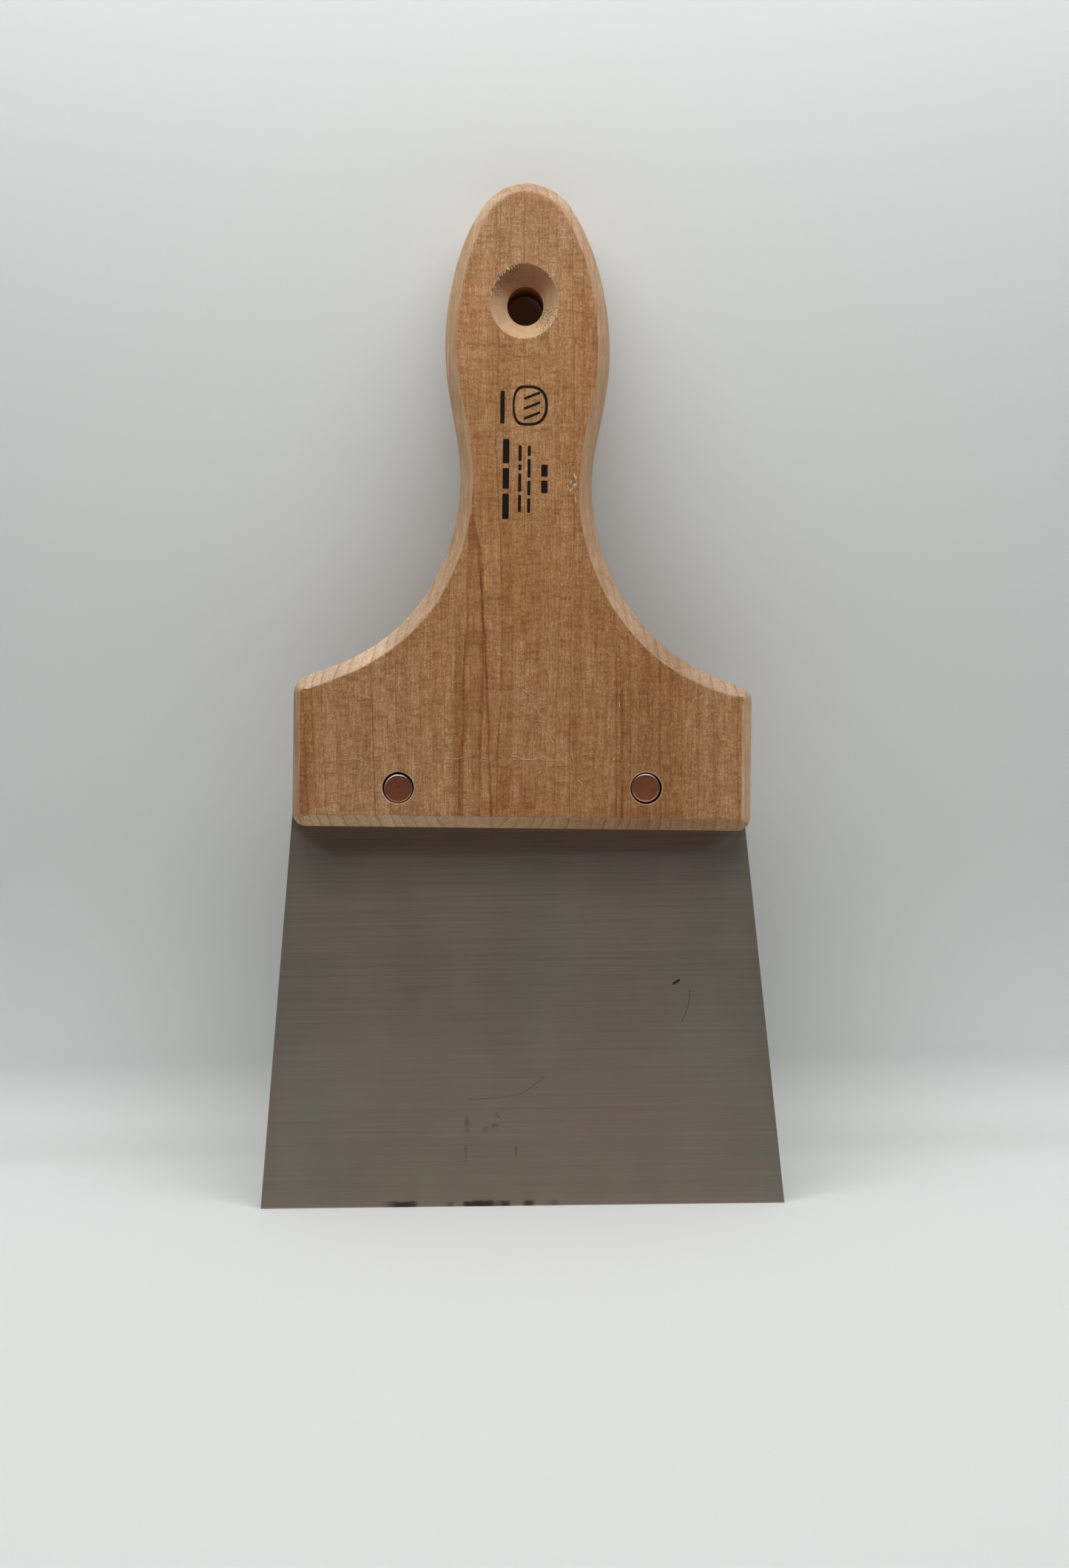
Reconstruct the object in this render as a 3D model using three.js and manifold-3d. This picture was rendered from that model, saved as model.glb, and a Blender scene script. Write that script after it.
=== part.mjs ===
// Bench scraper: a steel blade riveted into a one-piece wooden handle.
// Units are millimetres, +Z is up. The front face looks towards -Y and X runs
// across the width. The origin is the middle of the blade's working edge.
// The handle has its own frame: u across (X) and v up (Z) from the middle of
// its bottom edge, turned slightly about Y.
import * as THREE from 'three';
import { mergeVertices } from 'three/addons/utils/BufferGeometryUtils.js';
import Module from 'manifold-3d';

// ---- driving dimensions -------------------------------------------------

// Blade: a symmetric trapezoid, wider at the working edge.
const BLADE_EDGE_WIDTH = 140;
const BLADE_FLARE_DEG = 5.275;     // lean of each side from the vertical
const BLADE_HEIGHT = 123;          // working edge to the hidden top edge
const BLADE_THICKNESS = 0.8;
const BLADE_HOLE_R = 2.75;         // clearance for the rivet shank
const BLADE_HOLE_SEGMENTS = 24;

// Handle: extruded outline with rounded-over edges.
const HANDLE_THICKNESS = 17.5;
const HANDLE_BOTTOM_Z = 101.0;     // exposed blade below the handle
const HANDLE_SHIFT_X = 0.92;       // the blade sits a little off centre
const HANDLE_SKEW_DEG = 1.35;      // and a little askew in the kerf
const EDGE_ROUND_IN = 3.3;         // round-over measured across the face
const EDGE_ROUND_DEEP = 4.2;       // round-over measured through the thickness
const EDGE_ROUND_SEGMENTS = 3;
const BASE_HALF_WIDTH = 60.4;
const BASE_CORNER_R = 3.6;         // bottom corners of the outline

// Kerf for the blade, open at the bottom and at both ends.
const KERF_WIDTH = 1.0;
const KERF_DEPTH = 25;
const KERF_OVERRUN = 10;           // cutter past the wood at each open side

// Hanging hole, countersunk from both faces.
const HANG_U = -0.7;
const HANG_V = 138.2;
const HANG_R = 4.8;
const HANG_SINK_R = 9.05;          // at the face
const HANG_SINK_DEPTH = 4.1;
const HANG_STRETCH = 1.07;         // a little taller than wide
const HANG_SEGMENTS = 48;

// Rivets: counterbore centre [u, v], and the rivet's own offset from it.
const RIVETS = [
  { side: 'left', bore: [-32.4, 10.35], offset: [0.0, -0.22] },
  { side: 'right', bore: [32.6, 10.95], offset: [-0.08, 0.1] },
];
const RIVET_SEGMENTS = 40;         // heads, shanks and counterbores
const BORE_R = 4.12;
const BORE_DEPTH = 2.1;
const SHANK_HOLE_R = 2.5;
const SHANK_HOLE_SEGMENTS = 32;
const FACE_OVERRUN = 1;            // cutters past the front and back faces
const SHANK_HOLE_OVERRUN = 0.5;    // shank hole cutter into each counterbore

const HEAD_R = 3.8;
const HEAD_BEVEL = 0.32;
const HEAD_THICKNESS = 1.35;
const HEAD_RECESS = 0.62;          // head face below the wood
const DIMPLE_R = 0.45;             // shallow cone in the middle of each head
const DIMPLE_DEPTH = 0.12;

// Rivet shanks; values in y run from the front (-) to the back (+).
const TUBE_R = 2.4;
const TUBE_BORE_R = 1.55;
const TUBE_MOUTH_Y = 4.4;
const TUBE_BORE_END_Y = -5.6;
const TUBE_BORE_TIP_Y = -5.9;      // tip of the bore's conical end
const PIN_R = 1.5;
const PIN_TIP_Y = -5.0;
const PIN_CHAMFER_IN = 0.3;
const PIN_CHAMFER_LONG = 0.4;

// Handle outline above the shoulders: [u, v], each side listed from its
// shoulder up. Shaped by hand, so the two sides differ by a few tenths.
const RIGHT_SIDE = [
  [54.35, 39.28], [49.57, 41.18], [44.94, 43.39], [40.54, 46.01], [36.48, 49.12],
  [33.1, 52.4], [30.35, 55.7], [27.7, 59.2], [25.15, 62.96], [22.75, 67.5],
  [20.81, 72.22], [19.31, 77.11], [18.27, 82.13], [17.7, 87.23], [17.61, 92.37],
  [18.0, 97.5], [18.79, 102.6], [19.76, 107.69], [20.73, 112.78], [21.48, 117.89],
  [21.85, 123.03], [21.83, 128.18], [21.44, 133.33], [20.72, 138.46], [19.71, 143.55],
  [18.38, 148.56], [16.7, 153.44], [14.62, 158.15], [12.1, 162.63], [9.07, 166.8],
  [5.18, 169.96],
];
const APEX = [-0.3, 171.25];
const LEFT_SIDE = [
  [-54.87, 40.57], [-50.19, 42.37], [-45.55, 44.38], [-41.09, 46.83], [-36.9, 49.72],
  [-33.07, 53.02], [-29.64, 56.7], [-26.6, 60.7], [-23.98, 64.98], [-21.77, 69.51],
  [-19.99, 74.23], [-18.64, 79.1], [-17.72, 84.07], [-17.26, 89.11], [-17.25, 94.16],
  [-17.69, 99.18], [-18.47, 104.18], [-19.41, 109.16], [-20.33, 114.14], [-21.06, 119.14],
  [-21.47, 124.15], [-21.53, 129.18], [-21.26, 134.22], [-20.68, 139.26], [-19.79, 144.3],
  [-18.58, 149.29], [-17.01, 154.15], [-15.01, 158.81], [-12.54, 163.2], [-9.54, 167.19],
  [-5.69, 170.2],
];

// Shoulders: a Bezier curve from the top of each straight side, at v = startV.
// The lower control point stays on the side's line; the upper is [u, v].
const RIGHT_SHOULDER = { startV: 33.2, lowerControlV: 36.7, upperControl: [59.0, 37.6] };
const LEFT_SHOULDER = { startV: 33.8, lowerControlV: 37.6, upperControl: [-59.2, 38.95] };

// Outline sampling.
const SPLINE_STEPS = 126;
const CURVE_STEPS = 8;             // each corner and shoulder
const MIN_POINT_GAP = 0.05;

// Derived sizes.
const halfThickness = HANDLE_THICKNESS / 2;
const boreFloor = halfThickness - BORE_DEPTH;
const headFace = halfThickness - HEAD_RECESS;
const headBack = headFace - HEAD_THICKNESS;
const skew = THREE.MathUtils.degToRad(HANDLE_SKEW_DEG);

// ---- materials ----------------------------------------------------------

const wood = () => new THREE.MeshStandardMaterial({
  color: 0x98714d, roughness: 0.68, metalness: 0,
});
const steel = () => new THREE.MeshStandardMaterial({
  color: 0x8f8a82, roughness: 0.38, metalness: 1,
});
const copper = () => new THREE.MeshStandardMaterial({
  color: 0x9a5b42, roughness: 0.34, metalness: 1,
});

// ---- solid helpers ------------------------------------------------------

const manifold = await Module();
manifold.setup();

const WELD_DISTANCE = 1e-4;

// Only positions, shared corners merged.
function weld(geometry) {
  const loose = geometry.index ? geometry.toNonIndexed() : geometry.clone();
  loose.deleteAttribute('normal');
  loose.deleteAttribute('uv');
  return mergeVertices(loose, WELD_DISTANCE);
}

// Welds, drops collapsed triangles and turns every face outwards, whichever
// way the profile was drawn.
function outward(geometry) {
  const welded = weld(geometry);
  const { position } = welded.attributes;
  const index = welded.index.array;
  const corners = [0, 1, 2].map(() => new THREE.Vector3());
  const kept = [];
  let signedVolume = 0;
  for (let i = 0; i < index.length; i += 3) {
    const triangle = [index[i], index[i + 1], index[i + 2]];
    if (new Set(triangle).size < 3) continue;
    kept.push(...triangle);
    corners.forEach((corner, k) => corner.fromBufferAttribute(position, triangle[k]));
    signedVolume += corners[0].dot(corners[1].cross(corners[2]));
  }
  if (signedVolume < 0) {
    for (let i = 0; i < kept.length; i += 3) {
      [kept[i + 1], kept[i + 2]] = [kept[i + 2], kept[i + 1]];
    }
  }
  welded.setIndex(kept);
  return welded;
}

function toSolid(geometry) {
  const closed = outward(geometry);
  return new manifold.Manifold(new manifold.Mesh({
    numProp: 3,
    vertProperties: Float32Array.from(closed.attributes.position.array),
    triVerts: Uint32Array.from(closed.index.array),
  }));
}

function fromSolid(solid) {
  const mesh = solid.getMesh();
  const positions = Float32Array.from(mesh.vertProperties);
  const geometry = new THREE.BufferGeometry();
  geometry.setAttribute('position', new THREE.BufferAttribute(positions, 3));
  geometry.setIndex(Array.from(mesh.triVerts));
  geometry.computeVertexNormals();
  return geometry;
}

// A shape drawn in (x, z) and extruded evenly about y = 0.
function plate(shape, options) {
  const geometry = new THREE.ExtrudeGeometry(shape, options);
  geometry.computeBoundingBox();
  const { min, max } = geometry.boundingBox;
  geometry.translate(0, 0, -(min.z + max.z) / 2);
  geometry.rotateX(Math.PI / 2);
  return geometry;
}

// A turned piece about an axis parallel to Y; profile points are [radius, y].
function turned(profile, segments, [x, z] = [0, 0]) {
  const points = profile.map(([radius, y]) => new THREE.Vector2(radius, y));
  return new THREE.LatheGeometry(points, segments).translate(x, 0, z);
}

function cylinder(radius, startY, endY, segments, centre) {
  return turned([[0, startY], [radius, startY], [radius, endY], [0, endY]], segments, centre);
}

// ---- handle -------------------------------------------------------------

// Runs anticlockwise in (u, v) from the middle of the bottom edge.
function handleOutline() {
  const side = BASE_HALF_WIDTH;
  const corner = BASE_CORNER_R;
  const sweep = [...RIGHT_SIDE.slice(1), APEX, ...[...LEFT_SIDE].reverse()];
  const right = RIGHT_SHOULDER;
  const left = LEFT_SHOULDER;
  const outline = new THREE.Shape();
  outline.moveTo(0, 0);
  outline.lineTo(side - corner, 0);
  outline.absarc(side - corner, corner, corner, -Math.PI / 2, 0, false);
  outline.lineTo(side, right.startV);
  outline.bezierCurveTo(side, right.lowerControlV, ...right.upperControl, ...RIGHT_SIDE[0]);
  outline.splineThru(sweep.map(([u, v]) => new THREE.Vector2(u, v)));
  outline.bezierCurveTo(...left.upperControl, -side, left.lowerControlV, -side, left.startV);
  outline.lineTo(-side, corner);
  outline.absarc(-side + corner, corner, corner, Math.PI, Math.PI * 1.5, false);
  outline.lineTo(0, 0);
  return outline;
}

function curveSteps(curve) {
  if (curve.isLineCurve) return 1;
  return curve.isSplineCurve ? SPLINE_STEPS : CURVE_STEPS;
}

// Outline with points close enough for smooth curves, none on top of another.
function resample(shape) {
  const points = [];
  for (const curve of shape.curves) {
    const steps = curveSteps(curve);
    for (let i = 0; i < steps; i++) points.push(curve.getPoint(i / steps));
  }
  return new THREE.Shape(points.filter((point, i) => (
    point.distanceTo(points[(i + 1) % points.length]) > MIN_POINT_GAP
  )));
}

function handleBlank() {
  return plate(resample(handleOutline()), {
    depth: HANDLE_THICKNESS - 2 * EDGE_ROUND_DEEP,
    bevelEnabled: true,
    bevelThickness: EDGE_ROUND_DEEP,
    bevelSize: EDGE_ROUND_IN,
    bevelOffset: -EDGE_ROUND_IN,
    bevelSegments: EDGE_ROUND_SEGMENTS,
    curveSegments: 1,
  });
}

function kerfCutter() {
  const width = 2 * (BASE_HALF_WIDTH + KERF_OVERRUN);
  return new THREE.BoxGeometry(width, KERF_WIDTH, KERF_DEPTH + KERF_OVERRUN)
    .translate(0, 0, (KERF_DEPTH - KERF_OVERRUN) / 2);
}

// The countersink cones run on a little past each face so the cut is clean.
function hangingHoleCutter() {
  const slope = (HANG_SINK_R - HANG_R) / HANG_SINK_DEPTH;
  const endRadius = HANG_SINK_R + slope * FACE_OVERRUN;
  const endY = halfThickness + FACE_OVERRUN;
  const sinkFloor = halfThickness - HANG_SINK_DEPTH;
  return turned([
    [0, -endY], [endRadius, -endY], [HANG_R, -sinkFloor],
    [HANG_R, sinkFloor], [endRadius, endY], [0, endY],
  ], HANG_SEGMENTS)
    .scale(1, 1, HANG_STRETCH)
    .translate(HANG_U, 0, HANG_V);
}

// The rivet's own axis, [u, v]; its counterbore is slightly off it.
function rivetAxis({ bore, offset }) {
  return [bore[0] + offset[0], bore[1] + offset[1]];
}

// Front counterbore, back counterbore and the shank hole between them.
function rivetCutters(rivet) {
  const outside = halfThickness + FACE_OVERRUN;
  const shankEnd = boreFloor + SHANK_HOLE_OVERRUN;
  return [
    cylinder(BORE_R, -outside, -boreFloor, RIVET_SEGMENTS, rivet.bore),
    cylinder(BORE_R, boreFloor, outside, RIVET_SEGMENTS, rivet.bore),
    cylinder(SHANK_HOLE_R, -shankEnd, shankEnd, SHANK_HOLE_SEGMENTS, rivetAxis(rivet)),
  ];
}

function woodenHandle() {
  const cutters = [kerfCutter(), hangingHoleCutter(), ...RIVETS.flatMap(rivetCutters)];
  return fromSolid(cutters.reduce(
    (solid, cutter) => solid.subtract(toSolid(cutter)),
    toSolid(handleBlank()),
  ));
}

// ---- blade --------------------------------------------------------------

// A point given in the handle's frame, in the blade's frame.
function handleToBlade([u, v]) {
  return [
    HANDLE_SHIFT_X + u * Math.cos(skew) + v * Math.sin(skew),
    HANDLE_BOTTOM_Z - u * Math.sin(skew) + v * Math.cos(skew),
  ];
}

function blade() {
  const flare = Math.tan(THREE.MathUtils.degToRad(BLADE_FLARE_DEG));
  const halfBottom = BLADE_EDGE_WIDTH / 2;
  const halfTop = halfBottom - BLADE_HEIGHT * flare;
  const shape = new THREE.Shape();
  shape.moveTo(-halfBottom, 0);
  shape.lineTo(halfBottom, 0);
  shape.lineTo(halfTop, BLADE_HEIGHT);
  shape.lineTo(-halfTop, BLADE_HEIGHT);
  shape.lineTo(-halfBottom, 0);
  for (const rivet of RIVETS) {
    const [x, z] = handleToBlade(rivetAxis(rivet));
    shape.holes.push(new THREE.Path().absarc(x, z, BLADE_HOLE_R, 0, Math.PI * 2, true));
  }
  return outward(plate(shape, {
    depth: BLADE_THICKNESS,
    bevelEnabled: false,
    curveSegments: BLADE_HOLE_SEGMENTS,
  }));
}

// ---- rivets -------------------------------------------------------------

// Head profile from the dimple out to the shank side; facing is -1 for the
// front head and 1 for the back one.
function headProfile(facing) {
  return [
    [0, headFace - DIMPLE_DEPTH],
    [DIMPLE_R, headFace],
    [HEAD_R - HEAD_BEVEL, headFace],
    [HEAD_R, headFace - HEAD_BEVEL],
    [HEAD_R, headBack],
  ].map(([radius, y]) => [radius, facing * y]);
}

// Front half: head towards -Y, hollow shank running to the back.
function rivetTube(centre) {
  return outward(turned([
    ...headProfile(-1),
    [TUBE_R, -headBack], [TUBE_R, TUBE_MOUTH_Y],
    [TUBE_BORE_R, TUBE_MOUTH_Y], [TUBE_BORE_R, TUBE_BORE_END_Y],
    [0, TUBE_BORE_TIP_Y],
  ], RIVET_SEGMENTS, centre));
}

// Back half: head towards +Y, solid pin seated in the hollow shank.
function rivetPin(centre) {
  return outward(turned([
    [0, PIN_TIP_Y], [PIN_R - PIN_CHAMFER_IN, PIN_TIP_Y],
    [PIN_R, PIN_TIP_Y + PIN_CHAMFER_LONG], [PIN_R, headBack],
    ...headProfile(1).reverse(),
  ], RIVET_SEGMENTS, centre));
}

// ---- assembly -----------------------------------------------------------

function named(name, geometry, material) {
  const mesh = new THREE.Mesh(geometry, material);
  mesh.name = name;
  return mesh;
}

const scraper = new THREE.Group();
scraper.add(named('blade', blade(), steel()));

const handle = new THREE.Group();
handle.position.set(HANDLE_SHIFT_X, 0, HANDLE_BOTTOM_Z);
handle.rotation.y = skew;
handle.add(named('wooden_handle', woodenHandle(), wood()));
for (const rivet of RIVETS) {
  const axis = rivetAxis(rivet);
  handle.add(named(`rivet_${rivet.side}_tube`, rivetTube(axis), copper()));
  handle.add(named(`rivet_${rivet.side}_pin`, rivetPin(axis), copper()));
}
scraper.add(handle);

export default scraper;
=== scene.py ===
"""Bench scraper: wooden handle with a hanging hole, steel blade and recessed copper rivets.

It stands on a pale sweep with its front towards -Y, +X to the right and +Z up, the blade's edge
on z = 0. Shapes are built in millimetres and scaled to metres when a mesh is made."""
import math

import bmesh
import bpy
import numpy as np
from mathutils import Matrix, Vector
from mathutils.geometry import delaunay_2d_cdt


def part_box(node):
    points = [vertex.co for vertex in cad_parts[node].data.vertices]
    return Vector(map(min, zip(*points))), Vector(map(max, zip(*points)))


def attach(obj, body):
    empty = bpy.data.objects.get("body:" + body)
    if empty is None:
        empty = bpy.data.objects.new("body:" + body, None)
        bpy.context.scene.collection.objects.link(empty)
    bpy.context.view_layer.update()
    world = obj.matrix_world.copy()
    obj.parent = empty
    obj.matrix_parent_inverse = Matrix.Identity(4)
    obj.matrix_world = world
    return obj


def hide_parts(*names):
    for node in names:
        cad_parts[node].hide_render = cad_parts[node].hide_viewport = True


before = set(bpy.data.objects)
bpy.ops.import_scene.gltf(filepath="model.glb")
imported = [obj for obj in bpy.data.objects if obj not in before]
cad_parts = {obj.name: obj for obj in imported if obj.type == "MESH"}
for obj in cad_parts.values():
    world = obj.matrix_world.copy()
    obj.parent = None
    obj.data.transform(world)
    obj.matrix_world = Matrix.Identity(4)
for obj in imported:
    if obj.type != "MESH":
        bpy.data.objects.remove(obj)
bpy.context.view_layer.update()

MM = 0.001

# ---------------------------------------------------------------------------
# the handle's own frame: u across, y through the thickness, v up the handle
# ---------------------------------------------------------------------------
SHIFT_X, BOTTOM_Z, SKEW = 0.92, 101.0, math.radians(1.35)
HANDLE_FRAME = (Matrix.Translation((SHIFT_X * MM, 0, BOTTOM_Z * MM))
                @ Matrix.Rotation(SKEW, 4, "Y"))


def box_mm(name):
    """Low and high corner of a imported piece."""
    low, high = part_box(name)
    return low / MM, high / MM


def to_handle(x, z):
    dx, dz = x - SHIFT_X, z - BOTTOM_Z
    cos, sin = math.cos(SKEW), math.sin(SKEW)
    return dx * cos - dz * sin, dx * sin + dz * cos


def centre_of(name):
    low, high = box_mm(name)
    return (low.x + high.x) / 2, (low.z + high.z) / 2


handle_low, handle_high = box_mm("wooden_handle")
HALF = round((handle_high.y - handle_low.y) / 2, 3)    # half the handle's thickness
KERF_HALF, KERF_TOP = 0.5, 25.0                        # slot the blade sits in

# rivet axes in x, z and in the handle's u, v
SHANKS = {side: centre_of(f"rivet_{side}_tube") for side in ("left", "right")}
SHANKS_UV = {side: to_handle(*SHANKS[side]) for side in SHANKS}
# counterbores sit a little off the rivet heads
BORES_UV = {
    "left": (SHANKS_UV["left"][0], SHANKS_UV["left"][1] + 0.22),
    "right": (SHANKS_UV["right"][0] + 0.08, SHANKS_UV["right"][1] - 0.10),
}
BORE_R, BORE_DEPTH, SHANK_R = 4.12, 2.1, 2.5
BORE_EASE = 0.10       # the bore's mouth is this much wider

# outline of the handle above its base, (u, v) from the bottom up
RIGHT_SIDE = [
    (54.35, 39.28), (49.57, 41.18), (44.94, 43.39), (40.54, 46.01), (36.48, 49.12),
    (33.1, 52.4), (30.35, 55.7), (27.7, 59.2), (25.15, 62.96), (22.75, 67.5),
    (20.81, 72.22), (19.31, 77.11), (18.27, 82.13), (17.7, 87.23), (17.61, 92.37),
    (18.0, 97.5), (18.79, 102.6), (19.76, 107.69), (20.73, 112.78), (21.48, 117.89),
    (21.85, 123.03), (21.83, 128.18), (21.44, 133.33), (20.72, 138.46), (19.71, 143.55),
    (18.38, 148.56), (16.7, 153.44), (14.62, 158.15), (12.1, 162.63), (9.07, 166.8),
    (5.18, 169.96),
]
APEX = (-0.3, 171.25)
LEFT_SIDE = [
    (-54.87, 40.57), (-50.19, 42.37), (-45.55, 44.38), (-41.09, 46.83), (-36.9, 49.72),
    (-33.07, 53.02), (-29.64, 56.7), (-26.6, 60.7), (-23.98, 64.98), (-21.77, 69.51),
    (-19.99, 74.23), (-18.64, 79.1), (-17.72, 84.07), (-17.26, 89.11), (-17.25, 94.16),
    (-17.69, 99.18), (-18.47, 104.18), (-19.41, 109.16), (-20.33, 114.14), (-21.06, 119.14),
    (-21.47, 124.15), (-21.53, 129.18), (-21.26, 134.22), (-20.68, 139.26), (-19.79, 144.3),
    (-18.58, 149.29), (-17.01, 154.15), (-15.01, 158.81), (-12.54, 163.2), (-9.54, 167.19),
    (-5.69, 170.2),
]
BASE_W, BASE_CORNER = 60.4, 3.6        # base half width and corner radius
SHOULDER_RIGHT, SHOULDER_LEFT = 33.2, 33.8     # where the straight ends stop
OUTLINE_STEP = 0.62

# hanging hole: rim and throat of each countersink as centre and radii (u, v, ru, rv)
RIM, THROAT = (-0.83, 138.15, 9.04, 9.80), (-0.55, 138.0, 4.80, 5.16)
BACK_RIM, BACK_THROAT = (-0.7, 138.2, 9.05, 9.68), (-0.7, 138.2, 4.8, 5.14)
SINK = 4.1


# ---------------------------------------------------------------------------
# repeatable noise for the meshes
# ---------------------------------------------------------------------------
def wobble(x, y, z, seed):
    """Lattice noise, -1 to 1."""
    x, y, z = np.broadcast_arrays(*(np.asarray(a, float) for a in (x, y, z)))
    xi, yi, zi = (np.floor(a).astype(np.int64) for a in (x, y, z))
    fx, fy, fz = (a * a * (3 - 2 * a) for a in (x - xi, y - yi, z - zi))

    def corner(i, j, k):
        n = (((xi + i) * 73856093) ^ ((yi + j) * 19349663) ^ ((zi + k) * 83492791)
             ^ (seed * 2654435761))
        n &= 0xFFFFFFFF
        n = ((n ^ (n >> 13)) * 1274126177) & 0xFFFFFFFF
        n = ((n ^ (n >> 15)) * 1103515245) & 0xFFFFFFFF
        n ^= n >> 16
        return n / 4294967295.0 * 2 - 1

    def between(a, b, t):
        return a + (b - a) * t

    def layer(k):
        return between(between(corner(0, 0, k), corner(1, 0, k), fx),
                       between(corner(0, 1, k), corner(1, 1, k), fx), fy)

    return between(layer(0), layer(1), fz)


def ease(start, end, x):
    t = np.clip((np.asarray(x, float) - start) / (end - start), 0, 1)
    return t * t * (3 - 2 * t)


# ---------------------------------------------------------------------------
# polylines; each piece leaves out its last point, so pieces can be joined
# ---------------------------------------------------------------------------
def line(start, end, spacing):
    start, end = np.array(start, float), np.array(end, float)
    n = max(1, int(round(np.linalg.norm(end - start) / spacing)))
    return [start + (end - start) * k / n for k in range(n)]


def arc(centre, radius, start, end, n):
    angles = [start + (end - start) * k / n for k in range(n)]
    return [np.array((centre[0] + radius * math.cos(a), centre[1] + radius * math.sin(a)))
            for a in angles]


def bezier(p0, p1, p2, p3, n):
    p0, p1, p2, p3 = (np.array(p, float) for p in (p0, p1, p2, p3))
    return [(1 - t) ** 3 * p0 + 3 * (1 - t) ** 2 * t * p1 + 3 * (1 - t) * t * t * p2 + t**3 * p3
            for t in (k / n for k in range(n))]


def spline(points, per_span):
    """Curve through the points."""
    points = [np.array(p, float) for p in points]
    last = len(points) - 1
    out = []
    for i in range(last):
        p0, p1 = points[max(i - 1, 0)], points[i]
        p2, p3 = points[i + 1], points[min(i + 2, last)]
        v0, v1 = (p2 - p0) * 0.5, (p3 - p1) * 0.5
        for k in range(per_span):
            t = k / per_span
            out.append((2 * p1 - 2 * p2 + v0 + v1) * t**3
                       + (-3 * p1 + 3 * p2 - 2 * v0 - v1) * t * t + v0 * t + p1)
    return out


def resample(points, spacing):
    points = np.array(points, float)
    lengths = np.linalg.norm(np.diff(points, axis=0), axis=1)
    along = np.concatenate([[0], np.cumsum(lengths)])
    t = np.linspace(0, along[-1], int(round(along[-1] / spacing)) + 1)
    return np.stack([np.interp(t, along, points[:, 0]), np.interp(t, along, points[:, 1])], 1)


def ellipse(u, v, ru, rv, n):
    t = np.arange(n) / n * 2 * math.pi
    return np.stack([u + ru * np.cos(t), v + rv * np.sin(t)], 1)


def at_depth(points, y):
    """2D points placed at depth y."""
    return np.stack([points[:, 0], np.broadcast_to(y, len(points)), points[:, 1]], 1)


def handle_outline():
    """The whole outline, anticlockwise from the bottom left corner."""
    w, c, step = BASE_W, BASE_CORNER, OUTLINE_STEP
    top = bezier((w, SHOULDER_RIGHT), (w, 36.7), (59.0, 37.6), RIGHT_SIDE[0], 30)
    top += spline(RIGHT_SIDE + [APEX] + LEFT_SIDE[::-1], 14)
    top += bezier(LEFT_SIDE[0], (-59.2, 38.95), (-w, 37.6), (-w, SHOULDER_LEFT), 30)
    top.append(np.array((-w, SHOULDER_LEFT)))
    top = np.asarray(top, float)
    top[:, 1] -= 0.85 * ease(165.3, 170.6, top[:, 1])      # blunt crown
    points = line((-w + c, 0), (w - c, 0), step * 1.15)
    points += arc((w - c, c), c, -math.pi / 2, 0, 11)
    points += line((w, c), (w, KERF_TOP), step * 1.2)
    points += line((w, KERF_TOP), (w, SHOULDER_RIGHT), step * 1.1)
    points += list(resample(top, step))[:-1]
    points += line((-w, SHOULDER_LEFT), (-w, KERF_TOP), step * 1.1)
    points += line((-w, KERF_TOP), (-w, c), step * 1.2)
    points += arc((-w + c, c), c, math.pi, math.pi * 1.5, 11)
    return np.array(points)


def inward_normals(loop):
    """Inward for a loop that runs anticlockwise."""
    d = np.roll(loop, -1, 0) - np.roll(loop, 1, 0)
    d /= np.linalg.norm(d, axis=1)[:, None]
    return np.stack([-d[:, 1], d[:, 0]], 1)


OUTLINE = handle_outline()
EDGE_LENGTHS = np.linalg.norm(np.roll(OUTLINE, -1, 0) - OUTLINE, axis=1)
ALONG = np.concatenate([[0], np.cumsum(EDGE_LENGTHS)[:-1]])    # arc length at each point


def smooth_round(values, sigma):
    """Blur values that lie round the outline."""
    d = np.abs(ALONG[:, None] - ALONG[None, :])
    d = np.minimum(d, EDGE_LENGTHS.sum() - d)
    weights = np.exp(-0.5 * (d / sigma) ** 2)
    return (weights @ values) / weights.sum(1)


def segment_crossing(a, b, c, d):
    r, s = b - a, d - c
    den = r[0] * s[1] - r[1] * s[0]
    if abs(den) < 1e-12:
        return None
    ac = c - a
    t = (ac[0] * s[1] - ac[1] * s[0]) / den
    q = (ac[0] * r[1] - ac[1] * r[0]) / den
    hit = -1e-9 <= t <= 1 + 1e-9 and -1e-9 <= q <= 1 + 1e-9
    return a + r * t if hit else None


def mitre_point(loop, first, last, reach=34):
    """Where the loop crosses itself around a folded run: the two segments and the point."""
    n = len(loop)
    for i in range(first, first - reach, -1):
        for j in range(max(last, i + 2), last + reach):
            point = segment_crossing(loop[i % n], loop[(i + 1) % n],
                                     loop[j % n], loop[(j + 1) % n])
            if point is not None:
                return i, j, point
    i, j = first - 1, last + 1
    return i, j, (loop[i % n] + loop[(j + 1) % n]) / 2


def clip_offset(outline, inset):
    """Where the inset line folds over itself at a tight corner, its points go to the mitre."""
    n = len(outline)
    inset_edges = np.roll(inset, -1, 0) - inset
    forward = np.sum(inset_edges * (np.roll(outline, -1, 0) - outline), 1)
    runs = []
    for i in (i for i in range(n) if forward[i] <= 0):
        if runs and i - runs[-1][1] <= 8:
            runs[-1][1] = i
        else:
            runs.append([i, i])
    inset = inset.copy()
    for first, last in runs:
        i, j, point = mitre_point(inset, first, last)
        for k in range(i + 1, j + 1):
            inset[k % n] = point
    return inset


def inside(loop, points):
    """Even-odd test of many points against one closed polygon."""
    x, y = points[:, 0], points[:, 1]
    result = np.zeros(len(points), bool)
    for (x0, y0), (x1, y1) in zip(loop, np.roll(loop, -1, 0)):
        if y0 == y1:
            continue
        spans = (y0 > y) != (y1 > y)
        result ^= spans & (x < (x1 - x0) * (y - y0) / (y1 - y0) + x0)
    return result


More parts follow.
